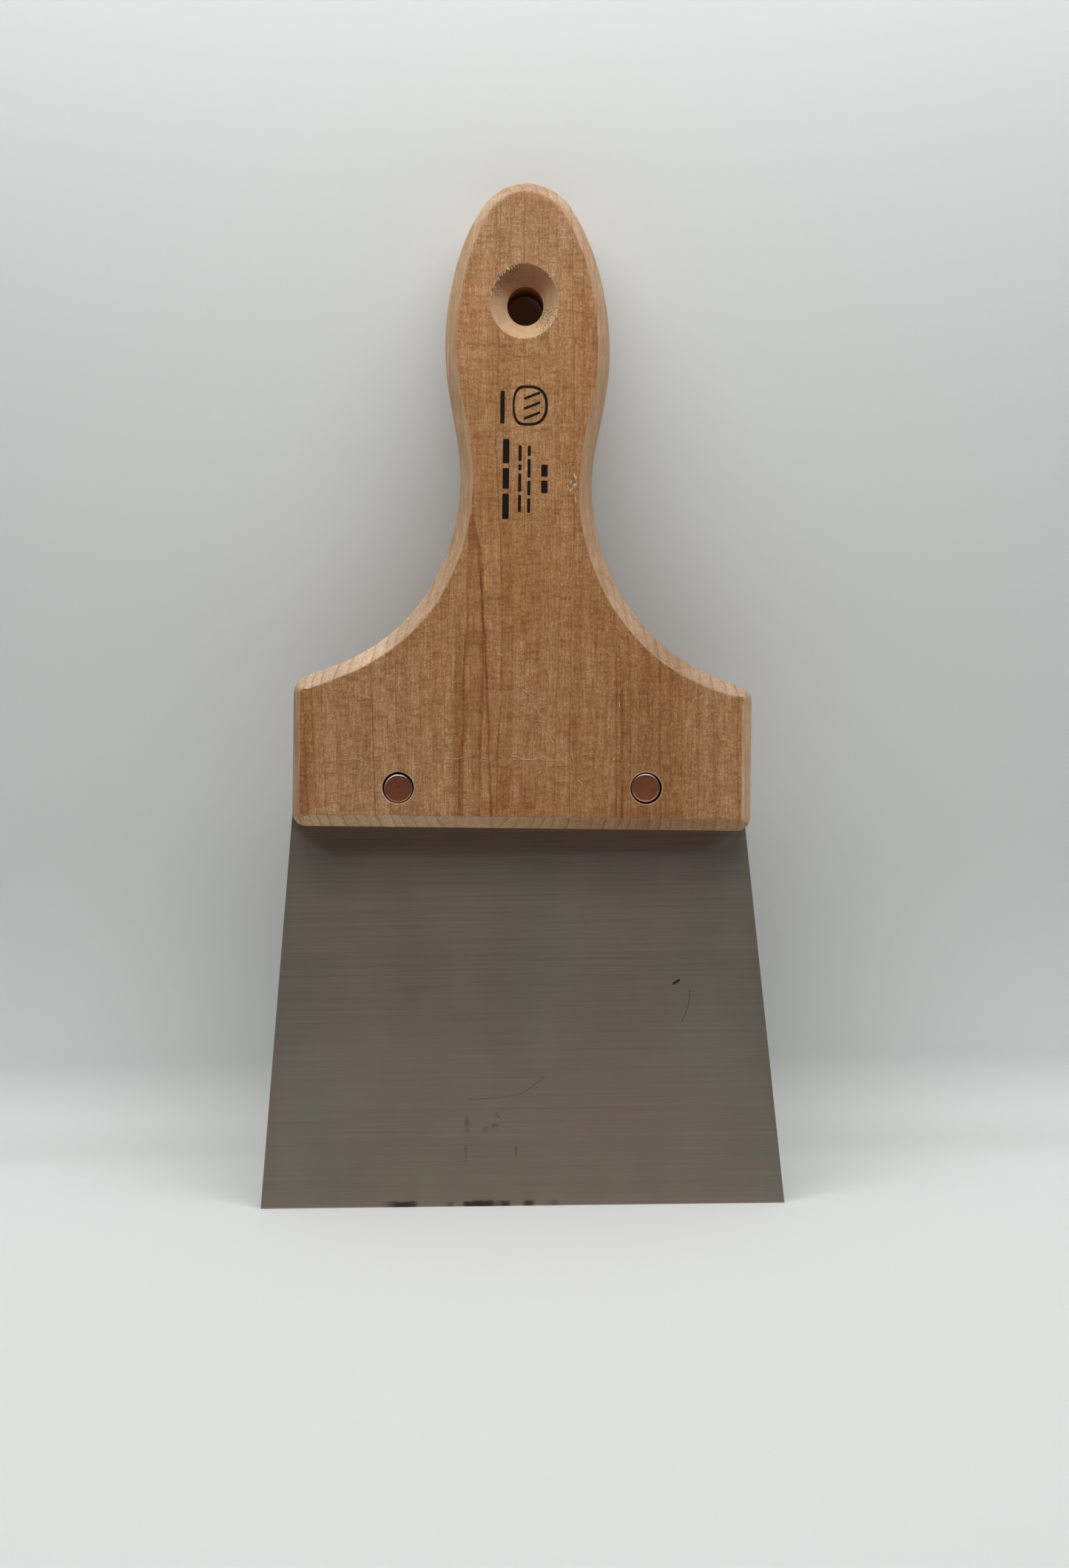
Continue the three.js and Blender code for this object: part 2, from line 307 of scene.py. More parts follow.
def distance_to(loop, points):
    """Distance of many points to a closed polyline."""
    best = np.full(len(points), 1e9)
    for p0, p1 in zip(loop, np.roll(loop, -1, 0)):
        edge = p1 - p0
        squared = edge @ edge
        if squared < 1e-12:
            continue
        t = np.clip(((points - p0) @ edge) / squared, 0, 1)
        d = points - (p0 + t[:, None] * edge)
        np.minimum(best, np.einsum("ij,ij->i", d, d), out=best)
    return np.sqrt(best)


def unique_loop(loop, gap=1e-4):
    keep = [0]
    for i in range(1, len(loop)):
        if np.linalg.norm(loop[i] - loop[keep[-1]]) > gap:
            keep.append(i)
    if np.linalg.norm(loop[keep[-1]] - loop[keep[0]]) <= gap:
        keep.pop()
    return loop[keep]


def fill(outer, holes, extra=(), step=1.7):
    """Points and triangles over a region with holes. extra holds further points inside."""
    loops = [outer] + list(holes)

    def within(points):
        mask = inside(outer, points)
        for hole in holes:
            mask &= ~inside(hole, points)
        return mask

    def kept(points, gap):
        points = points[within(points)]
        return points[np.minimum.reduce([distance_to(loop, points) for loop in loops]) > gap]

    points, edges = [], []
    for loop in loops:
        base = len(points)
        points += list(loop)
        edges += [(base + i, base + (i + 1) % len(loop)) for i in range(len(loop))]
    low, high = outer.min(0), outer.max(0)
    columns = np.arange(low[0], high[0], step)
    rows = np.arange(low[1], high[1], step * 0.87)
    grid = np.array([(x + (step / 2 if j % 2 else 0), y)
                     for j, y in enumerate(rows) for x in columns])
    gx, gy = grid[:, 0], grid[:, 1]
    jitter = [wobble(gx * 3.1, gy * 2.7, 0, 5), wobble(gx * 2.3, gy * 3.3, 4, 6)]
    grid = kept(grid + np.stack(jitter, 1) * step * 0.12, step * 0.62)
    if len(extra):
        extra = kept(extra, 0.02)
    if len(extra):
        # the grid makes way for the extra points
        nearest = np.full(len(grid), 1e9)
        for k in range(0, len(extra), 400):
            gaps = np.linalg.norm(grid[:, None] - extra[None, k : k + 400], axis=2)
            nearest = np.minimum(nearest, gaps.min(1))
        grid = grid[nearest > step * 0.55]
    points += [*grid, *extra]
    verts, _, faces, *_ = delaunay_2d_cdt([Vector(p) for p in points], edges, [], 0, 1e-6)
    verts = np.array([tuple(p) for p in verts])
    faces = np.array([f for f in faces if len(f) == 3], int)
    return verts, faces[within(verts[faces].mean(1))]


class Solid:
    """Collects vertices (mm) and faces, then makes one closed mesh."""

    def __init__(self):
        self.verts, self.faces, self.count = [], [], 0

    def add(self, verts, faces):
        verts = np.asarray(verts, float)
        self.verts.append(verts)
        self.faces += [tuple(int(i) + self.count for i in face) for face in faces]
        self.count += len(verts)

    def add_filled(self, filled, *depths):
        verts, faces = filled
        for y in depths:
            self.add(at_depth(verts, y), faces)

    def strip(self, row, other, closed=True, skip=None):
        """Quads between two equal rows."""
        n = len(row)
        faces = []
        for i in range(n if closed else n - 1):
            if skip is None or not skip[i]:
                j = (i + 1) % n
                faces.append((i, j, n + j, n + i))
        self.add(np.vstack([row, other]), faces)

    def strips(self, rows):
        for row, other in zip(rows[:-1], rows[1:]):
            self.strip(row, other)

    def mesh(self, name, merge=0.002, matrix=None, sharp=50):
        """The object, with points closer than merge joined and edges over sharp degrees hard."""
        bm = bmesh.new()
        verts = [bm.verts.new(p) for p in np.vstack(self.verts)]
        for face in self.faces:
            try:
                bm.faces.new([verts[i] for i in face])
            except ValueError:
                pass    # the same face was already made
        bmesh.ops.remove_doubles(bm, verts=bm.verts, dist=merge)
        bmesh.ops.dissolve_degenerate(bm, edges=bm.edges, dist=merge * 0.5)
        loose = [v for v in bm.verts if not v.link_faces]
        bmesh.ops.delete(bm, geom=loose, context="VERTS")
        bmesh.ops.recalc_face_normals(bm, faces=bm.faces)
        if bm.calc_volume(signed=True) < 0:
            bmesh.ops.reverse_faces(bm, faces=bm.faces)
        for v in bm.verts:
            v.co *= MM
        for face in bm.faces:
            face.smooth = True
        for edge in bm.edges:
            if len(edge.link_faces) == 2 and edge.calc_face_angle(0.0) > math.radians(sharp):
                edge.smooth = False
        mesh = bpy.data.meshes.new(name)
        bm.to_mesh(mesh)
        bm.free()
        ob = bpy.data.objects.new(name, mesh)
        bpy.context.scene.collection.objects.link(ob)
        if matrix is not None:
            ob.matrix_world = matrix
        return ob


# ---------------------------------------------------------------------------
# wooden handle
# ---------------------------------------------------------------------------
# width of the edge bevel against height v, on the left and on the right
CREASE_V = [33, 35, 38, 41, 47, 60, 75, 90, 105, 130, 150, 160, 166, 170.5]
CREASE_LEFT = [0, 0, 3.95, 4.05, 4.15, 4.35, 3.95, 3.6, 3.4, 3.3, 3.25, 3.35, 3.85, 4.25]
CREASE_RIGHT = [0, 0, 3.55, 3.95, 4.1, 4.3, 3.9, 3.55, 3.35, 3.3, 3.25, 3.35, 3.85, 4.25]
CREASE_END_LEFT, CREASE_END_RIGHT, CREASE_BOTTOM = 2.5, 2.97, 3.2

# bevel section from the crease (0, 0) to the outline: share of width, share of depth
BEVEL_WIDTH = np.array([0, 0.045, 0.10, 0.22, 0.38, 0.54, 0.70, 0.82, 0.90, 0.955, 0.985, 1])
BEVEL_DEPTH = np.array([0, 0.018, 0.062, 0.185, 0.345, 0.505, 0.668, 0.79, 0.878, 0.942, 0.985,
                        1.06]) / 1.06

# finely meshed spots on the front: centre u, v, half sizes, spacing
FINE_SPOTS = [
    (12.6, 90.2, 1.6, 2.6, 0.16), (-40.2, 33.7, 3.4, 1.2, 0.28), (-6.9, 47.0, 1.6, 1.5, 0.26),
    (5.0, 18.1, 9.5, 0.9, 0.30), (-13.6, 60.0, 1.0, 1.6, 0.3),
]
# pits beside the neck: centre u, v, radii, depth
PITS = [
    (12.94, 90.8, 0.42, 0.55, 0.55), (12.2, 90.05, 0.35, 0.75, 0.45),
    (11.8, 89.3, 0.35, 0.6, 0.3), (13.25, 86.2, 0.22, 1.0, 0.22),
]


def crease_width(back):
    u, v = OUTLINE[:, 0], OUTLINE[:, 1]
    right = u > 0
    upper = np.where(right, np.interp(v, CREASE_V, CREASE_RIGHT),
                     np.interp(v, CREASE_V, CREASE_LEFT))
    w = np.where(v > 35.5, upper, np.where(right, CREASE_END_RIGHT, CREASE_END_LEFT))
    w = smooth_round(np.where(v < 0.01, CREASE_BOTTOM, w), 1.6)
    row = 11 if back else 0
    w = w + 0.10 * wobble(ALONG / 11.0, row, 0, 21) + 0.05 * wobble(ALONG / 3.1, row, 0, 22)
    crown = 0.30 * wobble(ALONG / 5.5, row, 0, 23) + 0.12 * wobble(ALONG / 1.7, row, 0, 24)
    return w + ease(148, 160, v) * crown


def bevel_softness():
    """0 for a flat chamfer, 1 for a quarter round."""
    u, v = OUTLINE[:, 0], OUTLINE[:, 1]
    soft = 0.15 + 0.65 * ease(150, 166, v)
    soft = np.maximum(soft, 0.45 * ((v > 1) & (v < 33) & (u < -60)))
    return smooth_round(soft, 4.0)


def fine_points():
    """Jittered grids over the fine spots."""
    points = []
    for u, v, half_u, half_v, step in FINE_SPOTS:
        for a in np.arange(u - half_u, u + half_u, step):
            for b in np.arange(v - half_v, v + half_v, step):
                points.append((a + 0.3 * step * float(wobble(a * 9, b * 9, 0, 3)),
                               b + 0.3 * step * float(wobble(a * 9, b * 9, 7, 3))))
    return np.array(points)


def front_relief(points, loop):
    """Small pits and raised tears on the front face, in mm towards +Y."""
    u, v = points[:, 0], points[:, 1]
    d = np.zeros(len(points))
    for pu, pv, ru, rv, depth in PITS:
        d += depth * np.exp(-(((u - pu) / ru) ** 2) - ((v - pv) / rv) ** 2)
    wave = 0.35 * wobble(u / 1.7, 0, 0, 41)
    tear = np.exp(-(((v - 18.05 - wave) / 0.28) ** 2)) * ease(-3.5, -1.5, u)
    d -= 0.07 * tear * (1 - ease(11.5, 13.8, u)) * (0.5 + 0.5 * wobble(u / 1.3, 5, 0, 42))
    wave = 0.3 * wobble(u / 1.3, 3, 0, 43)
    tear = np.exp(-(((v - 33.9 - wave) / 0.25) ** 2)) * ease(-43.6, -42.6, u)
    d -= 0.08 * tear * (1 - ease(-38.6, -37.2, u))
    # raised ring
    r = np.hypot(u + 6.85, (v - 47.0) * 1.2)
    ring = np.exp(-(((r - 0.75) / 0.3) ** 2))
    d -= 0.07 * ring * (0.6 + 0.4 * wobble(u * 1.5, v * 1.5, 0, 44))
    return d * ease(0.05, 0.35, distance_to(loop, points))


def handle_face(solid, sign, holes):
    """One face with its edge bevel, sign -1 for the front. Returns the outermost row."""
    back = sign > 0
    width = crease_width(back)
    crease = clip_offset(OUTLINE, OUTLINE + inward_normals(OUTLINE) * width[:, None])
    soft = bevel_softness()
    depth = 0.15 + 1.06 * smooth_round(width, 1.2)
    rows = []
    for k, t in enumerate(np.linspace(0, 1, len(BEVEL_WIDTH)) * math.pi / 2):
        out = BEVEL_WIDTH[k] * (1 - soft) + np.sin(t) * soft
        drop = BEVEL_DEPTH[k] * (1 - soft) + (1 - np.cos(t)) * soft
        wave = wobble(ALONG / 4.0, k / 4.0, 3 if back else 0, 31)
        wave = 0.035 * wave * math.sin(math.pi * BEVEL_WIDTH[k])
        p = crease + (OUTLINE - crease) * (out + wave)[:, None]
        rows.append(at_depth(p, -sign * (-HALF + depth * drop)))
    solid.strips(rows)
    # points just inside the crease keep the face's shading flat right up to it
    loop = unique_loop(crease)
    inward = inward_normals(loop)
    extra = np.vstack([(loop + inward * off)[::every]
                       for off, every in ((0.35, 1), (0.9, 2), (1.7, 2))])
    groups = [extra[distance_to(loop, extra) > 0.3]]
    if not back:
        groups.append(fine_points())
    for hole in holes:
        centre = hole.mean(0)
        r = np.linalg.norm(hole - centre, axis=1)[:, None]
        groups += [(centre + (hole - centre) / r * (r + off))[::every]
                   for off, every in ((0.22, 1), (0.6, 2), (1.2, 2))]
    verts, faces = fill(loop, holes, np.vstack(groups))
    y = np.full(len(verts), -HALF)
    if not back:
        y += front_relief(verts, loop)
    solid.add(at_depth(verts, -sign * y), faces)
    return rows[-1]


def sink_rows(sign, rim, throat, seed_row, rows, n=360):
    """Countersink rows from rim to throat, torn where the cutter left the grain rough."""
    t = np.arange(n) / n * 2 * math.pi
    deg = np.degrees(t)
    # marks round the hole by angle, anticlockwise from +u
    torn = ease(92, 104, deg) * (1 - ease(158, 178, deg))
    nick = np.exp(-(((deg - 84) / 5.0) ** 2))
    ragged = ease(225, 235, deg) * (1 - ease(288, 300, deg))
    rough = ease(296, 306, deg) * (1 - ease(346, 356, deg))
    fray = ease(20, 30, deg) * (1 - ease(62, 72, deg))
    if sign > 0:
        torn, rough = np.roll(torn, 60), np.roll(rough, 90)
        torn, nick, ragged, rough, fray = (a * 0.4 for a in (torn, nick, ragged, rough, fray))
    k = seed_row
    jag = wobble(t * 26, k, 0, 61) * 0.6 + wobble(t * 57, k, 0, 62) * 0.4
    spread = (torn * (0.10 + 0.34 * jag) + ragged * 0.16 * wobble(t * 40, k + 3, 0, 63)
              + fray * 0.10 * jag + 0.03 * wobble(t * 22, k + 6, 0, 64) + nick * 0.45)
    out = []
    for j in range(rows + 1):
        s = (j / rows) ** 1.15
        cu, cv, ru, rv = (a + (b - a) * s for a, b in zip(rim, throat))
        widen = math.exp(-((s / 0.16) ** 2)) * spread
        # raised lifts the surface towards the hole's axis
        raised = (torn * math.exp(-((s / 0.42) ** 2)) * 0.22
                  * np.maximum(0, wobble(t * 30, j * 0.55, k, 65)) * (j > 0))
        patch = rough * ease(0.10, 0.25, s) * (1 - 0.55 * ease(0.75, 1.0, s))
        raised = raised + patch * (0.16 * wobble(t * 34, j * 0.62, k + 1, 66)
                                   + 0.12 * wobble(t * 62, j * 1.1, k + 2, 67))
        x = cu + (ru + widen - raised * 0.7) * np.cos(t)
        z = cv + (rv + widen - raised * 0.7) * np.sin(t)
        y = -HALF + SINK * s - raised * 0.7 * (j < rows)
        out.append(np.stack([x, -sign * y, z], 1))
    return out


def add_sides(solid, front_row, back_row):
    """Walls between the faces, open along the kerf."""
    front = front_row[:, [0, 2]]
    back = back_row[:, [0, 2]]
    shares = [k / 3 for k in range(4)]
    rows = [at_depth(front, front_row[:, 1] * (1 - a) - KERF_HALF * a) for a in shares]
    rows += [at_depth(back, KERF_HALF * (1 - a) + back_row[:, 1] * a) for a in shares]
    mid_v = (OUTLINE[:, 1] + np.roll(OUTLINE[:, 1], -1)) / 2
    for i, (row, other) in enumerate(zip(rows[:-1], rows[1:])):
        solid.strip(row, other, skip=mid_v < KERF_TOP - 1e-6 if i == 3 else None)


def add_kerf(solid):
    """Kerf walls with the shank holes, and the kerf's closed top."""
    n = len(OUTLINE)
    left, right = (int(np.argmin(np.hypot(OUTLINE[:, 0] - u, OUTLINE[:, 1] - KERF_TOP)))
                   for u in (-BASE_W, BASE_W))
    chain = [OUTLINE[i % n] for i in range(left, left + (right - left) % n + 1)]
    top = [np.array((x, KERF_TOP)) for x in np.linspace(BASE_W, -BASE_W, 61)[1:-1]]
    shanks = [ellipse(u, v, SHANK_R, SHANK_R, 64) for u, v in SHANKS_UV.values()]
    solid.add_filled(fill(np.array(chain + top), shanks, step=3.0), -KERF_HALF, KERF_HALF)
    top = np.array([OUTLINE[right]] + top + [OUTLINE[left]])
    solid.strip(at_depth(top, -KERF_HALF), at_depth(top, KERF_HALF), closed=False)


def add_bore(solid, sign, side):
    """Counterbore and shank hole of one rivet on one face."""
    bore, shank = BORES_UV[side], SHANKS_UV[side]
    floor = HALF - BORE_DEPTH
    # radius, depth down the bore
    section = [(BORE_R + BORE_EASE, HALF), (BORE_R + 0.035, HALF - 0.03),
               (BORE_R, HALF - 0.10), (BORE_R, HALF - 1.0), (BORE_R, floor)]
    solid.strips([at_depth(ellipse(*bore, r, r, 96), sign * y) for r, y in section])
    inner = ellipse(*shank, SHANK_R, SHANK_R, 64)
    outer = ellipse(*bore, BORE_R, BORE_R, 96)
    solid.add_filled(fill(outer, [inner], step=1.2), sign * floor)
    solid.strip(at_depth(inner, sign * floor), at_depth(inner, sign * KERF_HALF))


def make_handle():
    solid = Solid()
    sinks = {-1: sink_rows(-1, RIM, THROAT, seed_row=0, rows=30),
             1: sink_rows(1, BACK_RIM, BACK_THROAT, seed_row=50, rows=12)}
    mouth = BORE_R + BORE_EASE
    edge_rows = {}
    for sign, sink in sinks.items():
        holes = [sink[0][:, [0, 2]]]
        holes += [ellipse(u, v, mouth, mouth, 96) for u, v in BORES_UV.values()]
        edge_rows[sign] = handle_face(solid, sign, holes)
    add_sides(solid, edge_rows[-1], edge_rows[1])
    add_kerf(solid)
    for sign in (-1, 1):
        for side in BORES_UV:
            add_bore(solid, sign, side)
    for sink in sinks.values():
        solid.strips(sink)
    front, back = sinks[-1][-1], sinks[1][-1]
    solid.strips([front + (back - front) * k / 6 for k in range(7)])
    ob = solid.mesh("wooden_handle_body", matrix=HANDLE_FRAME, sharp=38)
    # distance from the outline, for darker handled edges
    co = np.zeros(len(ob.data.vertices) * 3)
    ob.data.vertices.foreach_get("co", co)
    co = co.reshape(-1, 3) / MM
    inset = ob.data.attributes.new("inset", "FLOAT", "POINT")
    inset.data.foreach_set("value", distance_to(OUTLINE, co[:, [0, 2]]).astype(np.float32))
    return ob


# ---------------------------------------------------------------------------
# blade
# ---------------------------------------------------------------------------
BLADE_FLARE = math.tan(math.radians(5.275))
BLADE_CHAMFER = 0.07
BLADE_HOLE_R = 2.75
BLADE_SEGMENTS = (110, 90, 92, 90)      # bottom, right, top, left


def blade_loop(half_w, height, inset):
    """The blade's outline, with the same number of points whatever the inset."""
    low_z, high_z = inset, height - inset
    bottom, top = (half_w - z * BLADE_FLARE - inset * math.hypot(1, BLADE_FLARE)
                   for z in (low_z, high_z))
    corners = [np.array(c) for c in
               [(-bottom, low_z), (bottom, low_z), (top, high_z), (-top, high_z)]]
    points = []
    for p, q, n in zip(corners, corners[1:] + corners[:1], BLADE_SEGMENTS):
        points += [p + (q - p) * i / n for i in range(n)]
    return np.array(points)


def fill_blade(flat, holes):
    """The straight edges are bowed a hair while the triangles are made, then put back."""
    bowed = flat.copy()
    start = 0
    for n, outward in zip(BLADE_SEGMENTS, ((0, -1), (1, 0), (0, 1), (-1, 0))):
        bow = np.sin(math.pi * np.arange(n) / n) * 0.05
        bowed[start : start + n] += np.outer(bow, outward)
        start += n
    verts, faces = fill(bowed, holes, step=3.2)
    for true, moved in zip(flat, bowed):
        verts[np.argmin(np.hypot(*(verts - moved).T))] = true
    return verts, faces


def make_blade():
    high = box_mm("blade")[1]
    half_t, c = high.y, BLADE_CHAMFER
    solid = Solid()
    section = [(0.0, half_t - c), (c * 0.3, half_t - c * 0.3), (c, half_t)]    # inset, depth
    loops = [(blade_loop(high.x, high.z, inset), y) for inset, y in section]
    holes = [ellipse(x, z, BLADE_HOLE_R, BLADE_HOLE_R, 72) for x, z in SHANKS.values()]
    for sign in (-1, 1):
        solid.strips([at_depth(loop, sign * y) for loop, y in loops])
        solid.add_filled(fill_blade(loops[-1][0], holes), sign * half_t)
    edge, y = loops[0]
    solid.strip(at_depth(edge, -y), at_depth(edge, y))
    for hole in holes:
        solid.strip(at_depth(hole, -half_t), at_depth(hole, half_t))
    return solid.mesh("steel_blade", sharp=25)


# ---------------------------------------------------------------------------
# rivets
# ---------------------------------------------------------------------------
HEAD_R, HEAD_BEVEL, HEAD_THICK = 3.8, 0.34, 1.35


def turned(name, profile, x, z, n=112):
    """profile is [(r, y)] from axis to axis, the object's origin is on the axis."""
    solid = Solid()
    rings = [at_depth(ellipse(0, 0, r, r, n), y) if r > 1e-9 else np.array([(0, y, 0)])
             for r, y in profile]
    for ring, other in zip(rings[:-1], rings[1:]):
        if len(ring) == 1:
            solid.add(np.vstack([ring, other]), [(0, 1 + i, 1 + (i + 1) % n) for i in range(n)])
        elif len(other) == 1:
            solid.add(np.vstack([ring, other]), [(i, (i + 1) % n, n) for i in range(n)])
        else:
            solid.strip(ring, other)
    return solid.mesh(name, merge=0.0005, matrix=Matrix.Translation((x * MM, 0, z * MM)))


def head_profile(face):
    """A head from the axis out to its flank and round to its back, facing -Y."""
    p = [(0.0, face + 0.004), (0.25, face + 0.003), (0.5, face)]
    p += [(r, face - 0.006) for r in (0.7, 0.9, 1.4, 1.9, 2.4, 2.8, 3.1)]
    # bright bevel: nearly straight with eased corners (r past the bevel's start, y)
    bevel = [(-0.05, 0), (0, 0.006), (0.04, 0.024), (0.10, 0.055), (0.17, 0.093),
             (0.24, 0.133), (0.30, 0.185), (HEAD_BEVEL, 0.28)]
    p += [(HEAD_R - HEAD_BEVEL + dr, face + dy) for dr, dy in bevel]
    back = face + HEAD_THICK
    return p + [(HEAD_R, back - 0.1), (3.72, back)]


def make_rivet(side):
    x, z = SHANKS[side]
    low, high = box_mm(f"rivet_{side}_tube")
    head_back, end = low.y + HEAD_THICK, high.y
    front = head_profile(low.y)
    front += [(SHANK_R, head_back), (2.4, head_back + 0.12), (2.4, end - 0.12), (2.28, end),
              (1.66, end), (1.55, end - 0.12), (1.55, -5.55), (1.3, -5.8), (0.0, -5.9)]
    tube = turned(f"rivet_{side}_front_half", front, x, z)
    low, high = box_mm(f"rivet_{side}_pin")
    head_back, tip = high.y - HEAD_THICK, low.y
    rear = [(r, -y) for r, y in head_profile(-high.y)]
    rear += [(1.6, head_back), (1.5, head_back - 0.12), (1.5, tip + 0.4), (1.2, tip), (0.0, tip)]
    return tube, turned(f"rivet_{side}_back_half", rear, x, z)


# ---------------------------------------------------------------------------
# torn fibres and splinters
# ---------------------------------------------------------------------------
def splinter(solid, root, direction, length, width, thick, curl, seed):
    """A closed tapered sliver that starts inside the wood. Directions are in (u, y, v)."""
    root, direction = np.array(root, float), np.array(direction, float)
    direction /= np.linalg.norm(direction)
    side = np.cross(direction, (0, 1, 0))
    side /= np.linalg.norm(side)
    up = np.cross(side, direction)
    if up[1] > 0:
        up = -up
    n, rings = 6, 7
    a = np.arange(n) / n * 2 * math.pi
    rows = []
    for i in range(rings):
        s = i / (rings - 1)
        centre = (root + direction * length * (s - 0.12) + up * curl * s * s
                  + side * 0.18 * width * math.sin(3 * s + seed))
        w = width * (1 - s) ** 0.7 * (0.75 + 0.25 * math.sin(5 * s + seed * 2)) + 0.012
        h = thick * (1 - 0.8 * s) + 0.01
        rows.append(centre + np.outer(np.cos(a), side) * w / 2 + np.outer(np.sin(a), up) * h / 2)
    faces = []
    for i in range(rings - 1):
        for j in range(n):
            k = (j + 1) % n
            faces.append((i * n + j, i * n + k, (i + 1) * n + k, (i + 1) * n + j))
    faces.append(tuple(range(n)))
    faces.append(tuple((rings - 1) * n + j for j in range(n))[::-1])
    solid.add(np.vstack(rows), faces)


# Arcs of splinters along the front rim. Pairs are ranges; lean is mean and spread along u
# and along y; odds are for pointing down and up the grain.
RIM_ARCS = [
    # upper left: they stand up along the grain and lean into the sink
    dict(count=74, degrees=(97, 172), off_rim=(-0.35, 0.12), sunk=(-0.02, 0.25),
         lean_u=(0.1, 0.35), lean_y=(-0.12, 0.2), odds=(0.7, 0.3), length=(0.35, 1.05),
         width=(0.07, 0.17), thick=(0.05, 0.1), curl=(-0.05, 0.16), seed=0),
    # upper right, finer
    dict(count=26, degrees=(18, 74), off_rim=(-0.05, -0.05), sunk=(0.0, 0.12),
         lean_u=(-0.1, 0.3), lean_y=(-0.05, 0.15), odds=(0.75, 0.25), length=(0.25, 0.7),
         width=(0.06, 0.12), thick=(0.04, 0.07), curl=(-0.03, 0.08), seed=100),
    # lower rim, short raised fuzz
    dict(count=30, degrees=(232, 300), off_rim=(-0.05, 0.1), sunk=(0.0, 0.06),
         lean_u=(0.3, 0.5), lean_y=(-0.05, 0.1), odds=None, length=(0.25, 0.7),
         width=(0.08, 0.15), thick=(0.04, 0.07), curl=(0.0, 0.07), seed=200),
]
# splinters of the chip beside the neck: u, v, direction u, v, length, width
CHIP_SPLINTERS = [
    (12.75, 92.9, 0.25, -1, 1.9, 0.34), (13.3, 92.3, 0.1, -1, 1.5, 0.26),
    (12.2, 91.3, -0.2, -1, 1.3, 0.24), (11.9, 90.9, -0.15, -1, 1.0, 0.2),
    (11.15, 89.9, 0.35, -1, 1.2, 0.26), (10.9, 89.2, 0.5, -1, 0.8, 0.2),
    (13.2, 86.9, 0.05, -1, 1.7, 0.2), (13.55, 88.6, 0.1, -1, 0.9, 0.14),
]


def add_rim_arc(solid, rng, look):
    u, v, ru, rv = RIM

    def off_rim():
        low, high = look["off_rim"]
        return rng.uniform(low, high) if low < high else low

    for i in range(look["count"]):
        a = math.radians(rng.uniform(*look["degrees"]))
        root = (u + (ru + off_rim()) * math.cos(a), -HALF + rng.uniform(*look["sunk"]),
                v + (rv + off_rim()) * math.sin(a))
        direction = (rng.normal(*look["lean_u"]), rng.normal(*look["lean_y"]),
                     rng.choice((-1, 1), p=look["odds"]))
        sizes = [rng.uniform(*look[key]) for key in ("length", "width", "thick", "curl")]
        splinter(solid, root, direction, *sizes, look["seed"] + i)


def make_rim_fibres():
    rng = np.random.default_rng(20)
    solid = Solid()
    for look in RIM_ARCS:
        add_rim_arc(solid, rng, look)
    # rough patch low on the right of the sink
    for i in range(70):
        a = math.radians(rng.uniform(300, 352))
        s = rng.uniform(0.12, 0.86)
        u, v, ru, rv = (p + (q - p) * s for p, q in zip(RIM, THROAT))
        root = (u + ru * math.cos(a), -HALF + SINK * s - 0.02, v + rv * math.sin(a))
        direction = (rng.normal(0.0, 0.5), rng.normal(-0.5, 0.25), rng.normal(0.6, 0.5))
        splinter(solid, root, direction, length=rng.uniform(0.25, 0.55),
                 width=rng.uniform(0.09, 0.2), thick=rng.uniform(0.05, 0.09),
                 curl=rng.uniform(-0.04, 0.08), seed=i + 300)
    return solid.mesh("hole_rim_fibres", merge=0.0, matrix=HANDLE_FRAME)


def make_chip():
    solid = Solid()
    for i, (u, v, du, dv, length, width) in enumerate(CHIP_SPLINTERS):
        splinter(solid, (u, -HALF + 0.03, v), (du, -0.06, dv), length, width,
                 thick=0.11, curl=0.10, seed=i)
    return solid.mesh("neck_chip_splinters", merge=0.0, matrix=HANDLE_FRAME)


